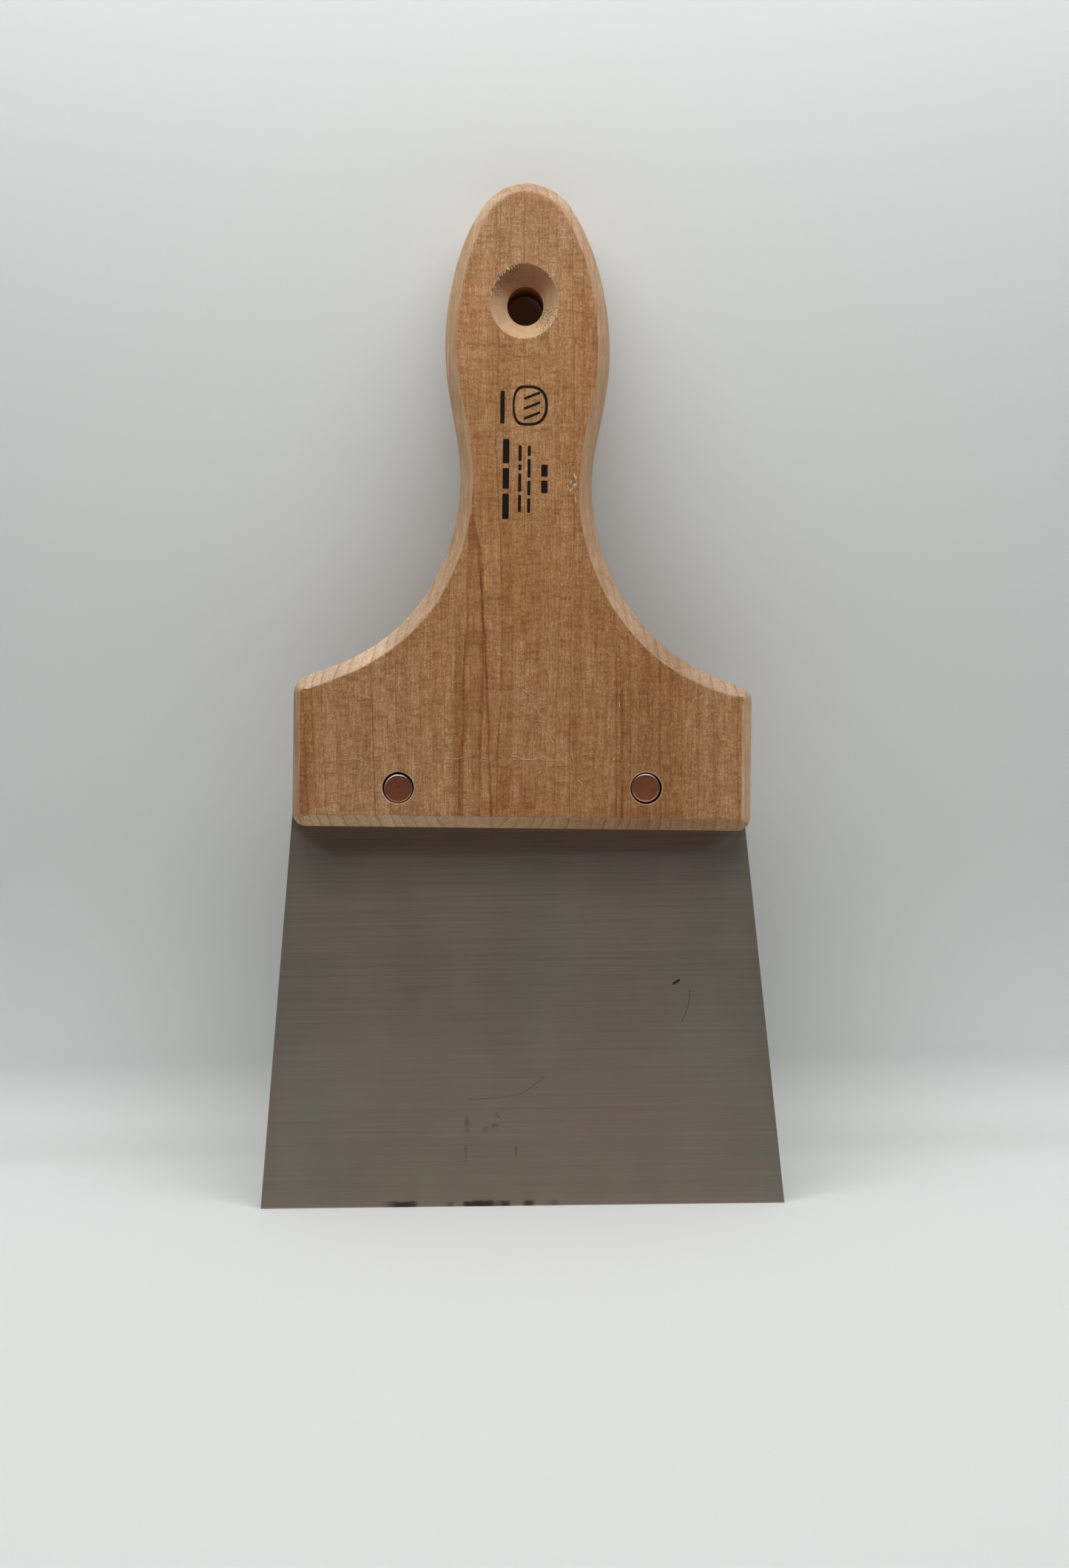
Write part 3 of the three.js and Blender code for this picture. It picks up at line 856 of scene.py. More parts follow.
# fine curled fibres on the front face: half width, then points (u, v)
STRANDS = [
    (0.075, (-6.85, 46.78), (-6.26, 45.82), (-5.47, 45.05)),
    (0.060, (-6.45, 45.82), (-6.05, 44.85)),
    (0.050, (-3.31, 41.98), (-2.52, 41.02)),
    (0.085, (-1.32, 37.55), (-0.93, 37.16)),
    (0.075, (0.82, 36.99), (1.21, 36.61)),
    (0.045, (-0.73, 36.97), (0.83, 35.83), (2.59, 34.68)),
    (0.065, (3.01, 32.36), (3.60, 31.60), (4.59, 29.86), (6.15, 28.91)),
    (0.040, (1.89, 28.67), (4.61, 28.12), (5.58, 27.55)),
    (0.060, (6.00, 25.23), (6.58, 24.66)),
    (0.070, (7.17, 24.27), (7.76, 23.12), (8.55, 22.35)),
    (0.055, (7.94, 24.48), (8.73, 23.52), (9.13, 22.17)),
    (0.060, (-3.04, 18.92), (-1.10, 18.75), (0.27, 18.19), (3.17, 18.22), (5.30, 18.83),
     (6.85, 18.46)),
    (0.055, (9.35, 19.84), (9.95, 18.69), (11.32, 17.54), (12.48, 17.36)),
    (0.050, (13.22, 20.28), (13.24, 18.73), (13.64, 17.57)),
    (0.050, (15.37, 19.33), (16.52, 19.73), (18.08, 19.36)),
    (0.110, (23.91, 18.08), (24.28, 18.86)),
    (0.090, (25.28, 33.40), (25.49, 32.05)),
    (0.050, (24.76, 44.83), (25.34, 44.25)),
    (0.055, (14.47, 12.93), (15.45, 12.36), (15.85, 11.39)),
    (0.045, (12.52, 14.26), (13.69, 13.31)),
    (0.055, (-47.59, 17.82), (-45.65, 17.46), (-43.72, 17.87), (-41.19, 17.12)),
    (0.085, (-40.42, 34.18), (-40.02, 33.41)),
    (0.070, (-36.55, 17.95), (-36.15, 17.37)),
    (0.055, (-10.77, 17.67), (-10.39, 18.45), (-8.84, 18.08)),
    (0.040, (17.07, 39.31), (18.04, 39.13)),
    (0.050, (-20.47, 18.33), (-18.14, 17.97), (-15.05, 18.59)),
    (0.045, (-12.71, 17.45), (-9.80, 17.68), (-8.44, 17.12)),
    (0.050, (-17.63, 139.66), (-17.23, 138.89)),
    (0.050, (-16.41, 135.41), (-15.63, 134.65), (-14.85, 134.66)),
    (0.050, (-16.70, 127.08), (-15.72, 126.12)),
]


def make_face_fibres():
    """Low roof-shaped strands: two feet in the wood and a raised back."""
    solid = Solid()
    for i, (width, *points) in enumerate(STRANDS):
        path = np.array(spline(points, 6) + [np.array(points[-1], float)])
        steps = np.arange(len(path)) / 2.3
        path = path + 0.05 * np.stack([wobble(steps, i, 0, 61), wobble(steps, i, 0, 62)], 1)
        along = np.gradient(path, axis=0)
        along = along / np.maximum(np.linalg.norm(along, axis=1), 1e-9)[:, None]
        t = np.linspace(0, 1, len(path))
        half = width * (0.30 + 0.70 * np.sin(math.pi * np.clip(t, 0.02, 0.98)) ** 0.6)
        out = np.stack([-along[:, 1], along[:, 0]], 1) * half[:, None]
        foot, ridge = -HALF + 0.02, -HALF - 0.05 - 0.05 * np.sin(math.pi * t)
        rings = [at_depth(path + out, foot), at_depth(path + out * 0.45, ridge),
                 at_depth(path - out * 0.45, ridge), at_depth(path - out, foot)]
        faces = []
        last = (len(path) - 1) * 4
        for j in range(0, last, 4):
            for q in range(4):
                r = (q + 1) % 4
                faces += [(j + q, j + r, j + 4 + r), (j + q, j + 4 + r, j + 4 + q)]
        faces += [(0, 2, 1), (0, 3, 2), (last, last + 1, last + 2), (last, last + 2, last + 3)]
        solid.add(np.stack(rings, 1).reshape(-1, 3), faces)
    return solid.mesh("raised_face_fibres", merge=0.0, matrix=HANDLE_FRAME, sharp=60)


# ---------------------------------------------------------------------------
# printed mark: a plain loaf pictogram and word bars, no lettering
# ---------------------------------------------------------------------------
PRINT_BACK, PRINT_FACE = -HALF + 0.03, -HALF - 0.012
LOAF_U, LOAF_V, LOAF_RU, LOAF_RV = 1.1, 110.8, 5.2, 5.3
# columns of word bars: centre u, half width, spans in v from the top down
WORD_COLUMNS = [
    (-5.1, 0.85, [(102.0, 95.6), (94.4, 88.9), (87.7, 81.0)]),
    (-1.45, 0.42, [(100.4, 96.2), (95.4, 93.8), (93.0, 88.2), (87.4, 82.9)]),
    (0.95, 0.42, [(100.3, 97.6), (96.8, 91.9), (91.1, 87.3), (86.5, 82.7)]),
    (5.0, 0.85, [(95.4, 92.2), (91.2, 87.9)]),
]


def add_print(solid, loop, holes=()):
    solid.add_filled(fill(loop, holes, step=3.0), PRINT_BACK, PRINT_FACE)
    for edge in [loop, *holes]:
        solid.strip(at_depth(edge, PRINT_BACK), at_depth(edge, PRINT_FACE))


def capsule(start, end, radius, n=7):
    start, end = np.array(start, float), np.array(end, float)
    heading = math.atan2(*(end - start)[::-1])
    points = []
    for centre, first in ((end, heading - math.pi / 2), (start, heading + math.pi / 2)):
        for k in range(n + 1):
            a = first + math.pi * k / n
            points.append(centre + radius * np.array((math.cos(a), math.sin(a))))
    return np.array(points)


def round_bar(u0, u1, v0, v1, radius=0.3):
    """Rounded rectangle."""
    points = []
    for u, v, first in ((u1 - radius, v0 + radius, -90), (u1 - radius, v1 - radius, 0),
                        (u0 + radius, v1 - radius, 90), (u0 + radius, v0 + radius, 180)):
        for k in range(5):
            a = math.radians(first + k * 22.5)
            points.append((u + radius * math.cos(a), v + radius * math.sin(a)))
    return np.array(points)


def loaf(scale, n=72):
    """A loaf lying on its side, its crown towards +u."""
    points = []
    for k in range(n):
        t = 2 * math.pi * k / n
        c, s = math.cos(t), math.sin(t)
        ru, power = (LOAF_RU * scale, 0.78) if c > 0 else (LOAF_RU * 0.78 * scale, 0.55)
        points.append((LOAF_U - 0.6 + ru * math.copysign(abs(c) ** power, c),
                       LOAF_V + LOAF_RV * scale * math.copysign(abs(s) ** 0.86, s)))
    return np.array(points)


def make_pictogram():
    solid = Solid()
    add_print(solid, loaf(1.0), holes=[loaf(0.86)[::-1]])
    for dv in (-2.6, 0.0, 2.6):
        v = LOAF_V + dv
        add_print(solid, capsule((LOAF_U - 1.4, v - 0.75), (LOAF_U + 2.3, v + 0.75), 0.34))
    add_print(solid, round_bar(-6.75, -5.6, 106.0, 114.6))
    return solid.mesh("printed_loaf_pictogram", merge=0.0005, matrix=HANDLE_FRAME, sharp=40)


def make_word_bars():
    solid = Solid()
    for u, half, spans in WORD_COLUMNS:
        for top, bottom in spans:
            add_print(solid, round_bar(u - half, u + half, bottom, top))
    return solid.mesh("printed_word_bars", merge=0.0005, matrix=HANDLE_FRAME, sharp=40)


# ---------------------------------------------------------------------------
# node helpers: they all add to the tree of the material started last
# ---------------------------------------------------------------------------
tree = None


class Value:
    """A node's output, with arithmetic that adds math nodes."""

    def __init__(self, socket):
        self.socket = socket

    def __add__(self, other):
        return calc("ADD", self, other)

    __radd__ = __add__

    def __sub__(self, other):
        return calc("SUBTRACT", self, other)

    def __rsub__(self, other):
        return calc("SUBTRACT", other, self)

    def __mul__(self, other):
        return calc("MULTIPLY", self, other)

    def __truediv__(self, other):
        return calc("DIVIDE", self, other)

    def __pow__(self, other):
        return calc("POWER", self, other)

    def __abs__(self):
        return calc("ABSOLUTE", self)


def start_material(name):
    global tree
    material = bpy.data.materials.new(name)
    material.use_nodes = True
    tree = material.node_tree
    tree.nodes.clear()
    return material


def node(kind, **settings):
    made = tree.nodes.new(kind)
    count = len(tree.nodes)
    made.location = ((count % 40) * 180, -(count // 40) * 260)
    for key, value in settings.items():
        setattr(made, key, value)
    return made


def put(socket, value):
    if isinstance(value, Value):
        tree.links.new(value.socket, socket)
    elif value is not None:
        socket.default_value = value


def put_all(made, *values):
    """Fill a node's first inputs and give its first output."""
    for socket, value in zip(made.inputs, values):
        put(socket, value)
    return Value(made.outputs[0])


def calc(operation, *values):
    return put_all(node("ShaderNodeMath", operation=operation), *values)


def vector_calc(operation, *values):
    return put_all(node("ShaderNodeVectorMath", operation=operation), *values)


def least(a, b):
    return calc("MINIMUM", a, b)


def most(a, b):
    return calc("MAXIMUM", a, b)


def radius(a, b):
    return calc("SQRT", a ** 2 + b ** 2)


def xyz(x, y, z):
    return put_all(node("ShaderNodeCombineXYZ"), x, y, z)


def split(vector):
    separate = node("ShaderNodeSeparateXYZ")
    put(separate.inputs[0], vector)
    return tuple(Value(out) for out in separate.outputs)


def noise(at, scale, offset, detail=2, rough=0.5):
    """Signed noise, about -1 to 1. scale is in cycles per mm."""
    made = node("ShaderNodeTexNoise", noise_dimensions="3D")
    put(made.inputs["Vector"], vector_calc("ADD", vector_calc("MULTIPLY", at, scale), offset))
    made.inputs["Scale"].default_value = 1
    made.inputs["Detail"].default_value = detail
    made.inputs["Roughness"].default_value = rough
    return calc("MULTIPLY_ADD", Value(made.outputs["Fac"]), 2.6, -1.3)


def white(seed):
    made = node("ShaderNodeTexWhiteNoise", noise_dimensions="1D")
    put(made.inputs["W"], seed)
    return Value(made.outputs["Value"])


def ramp(x, start, end, low=0, high=1, kind="SMOOTHSTEP"):
    """low at start and high at end, eased between. start may be the greater."""
    if start > end:
        start, end, low, high = end, start, high, low
    made = node("ShaderNodeMapRange", interpolation_type=kind, clamp=True)
    for key, value in (("Value", x), ("From Min", start), ("From Max", end),
                       ("To Min", low), ("To Max", high)):
        put(made.inputs[key], value)
    return Value(made.outputs["Result"])


def window(x, rise_start, rise_end, fall_start, fall_end):
    return ramp(x, rise_start, rise_end) * ramp(x, fall_start, fall_end, 1, 0)


def bell(x, centre, width):
    d = (x - centre) / width
    return calc("EXPONENT", d * d * -1)


def mix(factor, a, b, kind="RGBA"):
    i = ("FLOAT", "VECTOR", "RGBA").index(kind)
    made = node("ShaderNodeMix", data_type=kind, clamp_factor=True)
    put(made.inputs[0], factor)
    put(made.inputs[2 + 2 * i], a)
    put(made.inputs[3 + 2 * i], b)
    return Value(made.outputs[i])


def scale_rgb(colour, r, g, b):
    """Multiply a colour by three factors."""
    return vector_calc("MULTIPLY", colour, xyz(r, g, b))


def object_mm():
    scaled = node("ShaderNodeVectorMath", operation="SCALE")
    put(scaled.inputs[0], Value(node("ShaderNodeTexCoord").outputs["Object"]))
    put(scaled.inputs["Scale"], 1000)
    return Value(scaled.outputs[0])


def object_normal():
    turn = node("ShaderNodeVectorTransform", vector_type="NORMAL",
                convert_from="WORLD", convert_to="OBJECT")
    put(turn.inputs[0], Value(node("ShaderNodeNewGeometry").outputs["Normal"]))
    return split(vector_calc("NORMALIZE", Value(turn.outputs[0])))


def bump(height, strength, distance):
    """distance is in metres."""
    made = node("ShaderNodeBump")
    put(made.inputs["Strength"], strength)
    put(made.inputs["Distance"], distance)
    put(made.inputs["Height"], height)
    return Value(made.outputs["Normal"])


def principled(**values):
    made = node("ShaderNodeBsdfPrincipled")
    for key, value in values.items():
        put(made.inputs[key.replace("_", " ")], value)
    return Value(made.outputs[0])


def output(shader):
    put(node("ShaderNodeOutputMaterial").inputs[0], shader)


# ---------------------------------------------------------------------------
# wood: colours are mixed as logarithms, in the handle's frame P = (u, y, v)
# ---------------------------------------------------------------------------
WOOD = (0.392, 0.192, 0.0755)            # planed face
WOOD_SIDE = (0.455, 0.288, 0.170)        # side-grain cuts
WOOD_END = (0.560, 0.400, 0.275)         # end grain
WOOD_SINK = (0.470, 0.300, 0.165)
# what one unit of each does to the log colour
TONE_SHIFT = (0.80, 1.12, 1.58)          # darker wood is also redder
CUT_SHIFT = (0.85, 1.10, 1.40)
PALE_SHIFT = (0.09, 0.20, 0.36)
RED_SHIFT = (-0.02, -0.17, -0.30)


def log3(colour):
    return tuple(math.log(c) for c in colour)


def shift(base, amount, by):
    return vector_calc("MULTIPLY_ADD", by, amount, base)


def blend(factor, a, b):
    return mix(factor, a, b, "VECTOR")


def growth_rings(P, u, y, v):
    """Rings about an axis that runs up the handle just in front of it."""
    lean = ramp(u, -40, -16, 0.062, 0) + ramp(u, 2, 24, 0, 0.022)
    leaned_u = u + lean * (least(most(v, -5), 62) - 15)
    warp = noise(P, scale=(0.045, 0.045, 0.011), offset=(3, 1, 7), detail=1) * 1.6 \
        + noise(P, scale=(0.25, 0.25, 0.045), offset=(9, 4, 2)) * 0.42
    r = radius(leaned_u + 13, y + 15) + warp
    count = r / 2.95 + noise(xyz(r, 0, 0), scale=(0.13, 1, 1), offset=(5.5, 0, 0), detail=1) * 0.6
    ring = calc("FLOOR", count)
    return leaned_u, warp, ring, calc("FRACT", count)


def face_streaks(P, Pu, u, v, leaned_u, blotch, inset):
    """Particular streaks up the face: shade, redness, and the pale band at the right end."""

    def below(start, end):
        return window(v, -5, -1, start, end)

    def near_top(start, end):
        return window(v, start, end, 168, 172)

    # slow sideways waves
    wave = noise(xyz(0, 0, v), scale=(1, 1, 0.085), offset=(0, 3, 3), detail=2.5) * 0.55
    wave2 = noise(xyz(0, 0, v), scale=(1, 1, 0.06), offset=(0, 9, 1), detail=2.5) * 0.45
    # long line left of the middle, soft on its left, with a dark core
    from_line = u - (most(v - 50.2, 0) * -0.0433 - 7.55 - v * 0.0486 + wave)
    line = ramp(from_line, -1.3, -0.05) * ramp(from_line, 0, 0.30, 1, 0) \
        * window(v, -5, -2, 60, 84)
    line = line * (noise(P, scale=(0.2, 0.2, 0.10), offset=(0, 0, 20)) * 0.5 + 0.8)
    core = bell(from_line, -0.05, 0.20) * window(v, -5, -2, 56, 80)
    # band left of the line, and its dark right edge
    fray = noise(Pu, scale=(0.9, 0.9, 0.05), offset=(14, 2, 6), detail=3, rough=0.6)
    band = ramp(abs(u - wave * 0.6 + 16.75 + fray * 0.5), 1.7, 0.7) * below(44, 68)
    band_edge = bell(u - wave * 0.6, -15.45, 0.20) * below(40, 60)
    # pair of lines right of the middle
    pair = bell(u + v * 0.006 - wave2, 24.75, 0.34) * below(42, 56) \
        + bell(u + v * 0.012 - wave2, 26.35, 0.42) * below(36, 50) * 0.9
    pair_noise = noise(P, scale=(0.3, 0.3, 0.13), offset=(4, 0, 2), detail=2.5)
    pair = pair * (pair_noise * 0.9 + 0.75)
    # base, right and left
    zone = window(u + wave2 * 3, 25, 27, 38, 46.5) * below(40, 55)
    zone_line = bell(u - wave2, 46.1, 0.20) * below(34, 42)
    right_end = ramp(u - wave2, 45.8, 47.2) * below(38, 46)
    left_end = ramp(leaned_u + blotch * 1.6, -52, -56) * below(36, 44)
    left_tip = ramp(leaned_u, -56, -56.7) * window(v, 2, 5, 36, 39)
    # fine lines in the head of the handle
    top_left = bell(u - wave2 * 0.3, -7.25, 0.20) * near_top(96, 128)
    top_light = bell(u - wave2 * 0.3, -6.9, 0.16) * near_top(120, 134)
    top_middle = bell(u - wave2 * 0.3, -0.95, 0.16) * near_top(146, 150)
    top_right = bell(u - wave2 * 0.3, 2.95, 0.16) * near_top(142, 149)
    # handled edges just inside the crease
    edge_noise = noise(P, scale=(0.10, 0.10, 0.07), offset=(3, 3, 3), detail=3, rough=0.6)
    ragged = inset + edge_noise * 1.8
    edge = ramp(ragged, 3, 4) * ramp(ragged, 4.6, 8.5, 1, 0)
    grip_edge = edge * ramp(v, 60, 80) * ramp(u, 2, -6, 0.45, 1)
    base_edge = edge * ramp(v, 44, 34)
    neck_left = ramp(u, -3, -13) * window(v, 70, 84, 108, 124)

    shade = line * 0.26 + core * 0.44 + band * 0.17 + band_edge * 0.22 + pair * 0.46 \
        + zone * 0.16 + zone_line * 0.16 + top_left * 0.24 + top_middle * 0.18 \
        + top_right * 0.18 + left_tip * 0.10 + left_end * 0.13 + grip_edge * 0.04 \
        + neck_left * 0.15
    light = (top_light * 0.10, bell(u - wave * 0.4, -20.5, 1.3) * below(40, 60) * 0.21)
    reds = ((band + line * 0.7 + core * 0.6 + pair) * 0.55, left_end * 0.58,
            grip_edge * 0.35, base_edge * 0.22, right_end * 0.25)
    return shade, light, reds, right_end


def raised_hairs(P, u, v, front, flat):
    """Light raised hairs from tear-out, and the painted shadow line under one of them."""
    wave = noise(xyz(u, 0, 0), scale=(0.55, 1, 1), offset=(2, 0, 0), detail=3, rough=0.6) * 0.55
    broken = ramp(noise(P, scale=(0.9, 1, 1), offset=(1, 1, 1)), -0.35, 0.25)
    low = bell(v - wave, 18.1, 0.15) * window(u, -3.6, -2.4, 10.5, 14.2) * broken
    left = bell(v - wave * 0.7, 33.9, 0.17) * window(u, -43.4, -42.6, -38.8, -37.4) * broken
    # painted shadow just below the raised hair at the left
    under = bell(v - wave * 0.7, 33.2, 0.22) * window(u, -43, -41.5, -38.8, -37.4)
    specks = ramp(noise(P, scale=(0.9, 1, 2.4), offset=(31, 2, 9), detail=3, rough=0.75),
                  0.62, 0.95)
    patch = ramp(noise(P, scale=(0.55, 1, 0.9), offset=(3, 2, 29), detail=4, rough=0.78),
                 0.52, 0.8)
    patch = patch * window(u + v * 0.9, 20, 30, 45, 58) * ramp(v, 45, 38)
    lines = (low + left) * front * flat * 0.7
    return least(lines + (specks * 0.45 + patch * 0.8) * flat, 1), under


def cut_colour(u, v, nx, end_grain, under):
    """Untoned colour of chamfers and sides: lighter and greyer than the face, with painted light
    and shade: paler left shoulder and left of the bottom, darker right shoulder and right of the
    bottom, paler right-facing sides on the base.
    """
    painted_shade_to_right = ramp(u, -30, 30, 0, 1, kind="LINEAR")
    cut = blend(end_grain, log3(WOOD_SIDE), log3(WOOD_END))
    # painted shade on the right's end grain below the head
    cut = shift(cut, end_grain * ramp(u, 12, 40) * ramp(v, 120, 90), (-0.22, -0.27, -0.29))
    cut = shift(cut, end_grain * ramp(v, 120, 150), (0.10, 0.15, 0.20))
    cut = shift(cut, end_grain * ramp(v, 160, 169.5), (-0.54, -0.70, -0.88))
    # painted shade on the right shoulder
    cut = shift(cut, end_grain * bell(u, 37, 6.5) * ramp(v, 80, 60), (-0.24, -0.34, -0.50))
    # painted light on the left shoulder
    cut = shift(cut, end_grain * bell(u, -40, 6) * ramp(v, 80, 60), (0.22, 0.24, 0.26))
    # painted light on the base's right-facing sides
    cut = shift(cut, (1 - end_grain) * ramp(nx, 0.2, 0.6) * ramp(v, 40, 30), (0.26, 0.28, 0.30))
    # painted light on the bottom: paler at the left, darker at the right
    bottom = blend(painted_shade_to_right, log3((0.590, 0.385, 0.245)), log3((0.385, 0.215, 0.108)))
    return blend(under * end_grain, cut, bottom)


def sink_colour(tone, angle, speckle, rough_patch, torn_top, y, bore):
    """Countersink: clean cut lower left, speckled low on the right, bruised upper part, with
    painted shade darkening its upper half and the straight bore painted dark as shade.
    """
    c = shift(log3(WOOD_SINK), tone, CUT_SHIFT)
    # painted shade: the upper half of the countersink darker and redder
    c = shift(c, ramp(calc("SINE", angle), 0.25, 0.85), (-0.28, -0.66, -0.86))
    c = blend(rough_patch * ramp(speckle, 0, 0.40) * 0.9, c, log3((0.86, 0.66, 0.44)))
    c = blend(rough_patch * ramp(speckle, -0.05, -0.40) * 0.75, c, log3((0.20, 0.10, 0.045)))
    c = blend(torn_top * ramp(speckle, 0.05, -0.30) * 0.7, c, log3((0.17, 0.085, 0.040)))
    c = blend(torn_top * ramp(speckle, 0.25, 0.6) * 0.7, c, log3((0.66, 0.48, 0.31)))
    # painted shade down the straight bore, darker towards the back
    dark = blend(ramp(y, -3.5, 3.5), log3((0.22, 0.090, 0.034)), log3((0.070, 0.026, 0.010)))
    return blend(bore, c, dark)


def colour_bores(colour, u, y, v, front):
    """Counterbores painted dark as shade, with a painted pale highlight ring round them."""
    dark, pale = [], []
    for bore_u, bore_v in BORES_UV.values():
        d = radius(u - bore_u, v - bore_v)
        dark.append(ramp(d, BORE_R + 0.05, BORE_R - 0.03)
                    * ramp(abs(y), HALF - 0.02, HALF - 0.12))
        pale.append(bell(d, BORE_R + 0.17, 0.13) * front)
    # painted highlight ring round each counterbore's mouth
    colour = blend((pale[0] + pale[1]) * 0.70, colour, log3((0.66, 0.49, 0.40)))
    # painted shade inside the counterbores
    return blend((dark[0] + dark[1]) * 0.92, colour, log3((0.050, 0.013, 0.010)))


def wood_material():
    material = start_material("beech_wood")
    P = object_mm()
    u, y, v = split(P)
    nx, ny, nv = object_normal()
    chamfer = ramp(abs(ny), 0.985, 0.90)         # turned away from the flat faces
    end_grain = ramp(abs(nv), 0.22, 0.66)        # cut across the fibres
    under = ramp(nv, -0.2, -0.5)
    hole_r = radius((u + 0.8) / 9.1, (v - 138.1) / 9.85)      # 1 at the hole's rim
    in_hole = ramp(hole_r, 1.02, 0.985)
    inset = Value(node("ShaderNodeAttribute", attribute_name="inset").outputs["Fac"])
    front = ramp(y, -7, -5, 1, 0)
    flat = 1 - chamfer

    leaned_u, warp, ring, in_ring = growth_rings(P, u, y, v)
    ring_rand = white(ring + 0.37)
    ring_rand2 = white(ring * 1.7 + 11.3)
    late = ramp(in_ring, 0.40, 0.96) * ramp(in_ring, 0.975, 1, 1, 0)
    thin = ramp(in_ring, 0.875, 0.945) * ramp(in_ring, 0.965, 0.995, 1, 0)
    along = noise(xyz(ring * 3.1, 0, v), scale=(1, 1, 0.07), offset=(0, 0, 4), detail=3, rough=0.6)
    strength = 0.15 + ring_rand2 * 0.85
    line_on = ramp(along + ring_rand * 1.2 - 0.6, -0.55, 0.7) * strength

    # fibres run up the handle; ray flecks lie across it and break at the rings
    Pu = xyz(u + warp * 0.5, y, v)
    Pf = xyz(u + warp * 0.5, y, v + ring * 7.3)
    fibre = noise(Pu, scale=(0.36, 0.36, 0.013), offset=(1, 2, 3), detail=5, rough=0.82)
    fine = noise(Pu, scale=(2.6, 2.6, 0.16), offset=(4, 4, 9), rough=0.7)
    fleck = noise(Pf, scale=(0.050, 0.08, 0.34), offset=(2, 8, 5), detail=4.5, rough=0.80)
    fine_fleck = noise(Pf, scale=(0.75, 0.8, 2.3), offset=(6, 1, 2), rough=0.7)
    mottle = noise(Pu, scale=(2.2, 2.2, 1.3), offset=(8, 8, 8), detail=2.5, rough=0.75)
    dark_fleck = ramp(noise(Pf, scale=(0.13, 0.2, 1.05), offset=(16, 1, 3), detail=2.5, rough=0.6),
                      -0.02, 0.42)
    blotch = noise(Pf, scale=(0.085, 0.1, 0.22), offset=(12, 3, 4), detail=3, rough=0.62)

    tone = fibre * 0.32 + fine * 0.46 + fleck * 0.30 + fine_fleck * 0.38 + mottle * 0.53 \
        - dark_fleck * 0.19 + (ring_rand - 0.5) * 0.13
    tone = tone - late * strength * 0.10 \
        - thin * line_on * (0.44 + ramp(leaned_u, -16, -26) * 0.14)
    streaks, light, reds, right_end = face_streaks(P, Pu, u, v, leaned_u, blotch, inset)
    tone = tone - streaks * (0.40 + flat * 0.60) + light[0] + light[1]
    streak_red, left_red, grip_red, base_red, right_red = reds
    redness = ramp(blotch, 0.05, 0.62) * 0.55 + streak_red + left_red + thin * line_on * 0.5 \
        + dark_fleck * 0.35 + grip_red + base_red + right_red
    redness = redness * (0.25 + flat * 0.75)
    cloud = noise(P, scale=(0.05, 0.05, 0.03), offset=(1, 7, 1))
    pale = ramp(u, -17, -30) * ramp(v, 52, 40) * 0.85 + ramp(v, 118, 156) * 0.55 \
        + right_end * 1.15 + ramp(v, 100, 78) * ramp(v, 45, 60) * -0.25 \
        + ramp(cloud, -0.5, 0.5, -0.35, 0.35)

    colour = shift(log3(WOOD), tone, TONE_SHIFT)
    colour = shift(colour, pale, PALE_SHIFT)
    colour = shift(colour, redness, RED_SHIFT)
    colour = shift(colour, ramp(v, 138, 158), (-0.11, -0.07, -0.03))
    hairs, hair_shade = raised_hairs(P, u, v, front, flat)
    colour = blend(hairs * 0.75, colour, log3((0.66, 0.44, 0.26)))
    colour = shift(colour, hair_shade * front * flat, (-0.30, -0.36, -0.45))

    # chamfers and sides: fibres cut at a slant, pores on the end grain
    slant = noise(P, scale=(1, 1, 0.055), offset=(4, 9, 1), detail=4, rough=0.75)
    pores = noise(P, scale=(1.9, 2.2, 1.7), offset=(1, 9, 1), detail=3, rough=0.8)
    pits = ramp(noise(P, scale=(1.5, 1.6, 1.9), offset=(21, 9, 4), rough=0.7), 0.22, 0.55)
    broad = noise(P, scale=(0.16, 0.2, 0.05), offset=(14, 9, 5), detail=3, rough=0.6)
    # right over the axis the rings lie flat to the cut and do not read as lines
    off_axis = ramp(abs(leaned_u + 13), 3, 9)
    cut_tone = slant * 0.50 * (1 - end_grain * 0.6) \
        + pores * 0.56 * (0.35 + end_grain * 0.65) - pits * end_grain * 0.16 + broad * 0.14 \
        + (ring_rand - 0.5) * 0.14 * end_grain * off_axis
    wide = ramp(in_ring, 0.80, 0.90) * ramp(in_ring, 0.955, 0.995, 1, 0)
    ring_lines = wide * (ring_rand2 * 0.6 + 0.4) * (0.12 + end_grain * 0.20) \
        + late * (ring_rand2 * 0.5 + 0.5) * (0.05 + end_grain * 0.10)
    cut_tone = cut_tone - ring_lines * off_axis - streaks * 0.35
    cut = shift(cut_colour(u, v, nx, end_grain, under), cut_tone, CUT_SHIFT)
    colour = blend(chamfer * 0.94, colour, cut)

    angle = calc("ARCTAN2", v - 138.1, u + 0.8)
    rough_patch = window(angle, -1.16, -0.98, -0.22, -0.06) * ramp(hole_r, 0.5, 0.6)
    torn_top = window(angle, 1.55, 1.85, 2.75, 3.1) * ramp(hole_r, 0.62, 0.80)
    speckle = noise(P, scale=(2.2, 2.2, 2.2), offset=(3, 3, 7), detail=3, rough=0.8)
    sink_tone = slant * 0.22 + pores * 0.05 + broad * 0.06
    bore = ramp(abs(y), 4.75, 4.4)
    sink = sink_colour(sink_tone, angle, speckle, rough_patch, torn_top, y, bore)
    colour = colour_bores(blend(in_hole, colour, sink), u, y, v, front)
    colour = xyz(*(calc("EXPONENT", channel) for channel in split(colour)))

    # finish and relief
    rough = 0.60 + fine * 0.05 + tone * 0.12 + chamfer * 0.04
    height = fine * 0.30 + fine_fleck * 0.20 + mottle * 0.45 - thin * line_on * 1.2 \
        + hairs * 1.2 + pores * end_grain * chamfer * 0.7
    height = height + in_hole * (speckle * (rough_patch + torn_top) * 2.2)
    # the hole's straight part is matt
    output(principled(
        Base_Color=colour, Roughness=rough + bore * in_hole * 0.4,
        Specular_IOR_Level=(1 - bore * in_hole) * 0.30,
        Normal=bump(height, strength=0.6, distance=0.00008)))
    return material


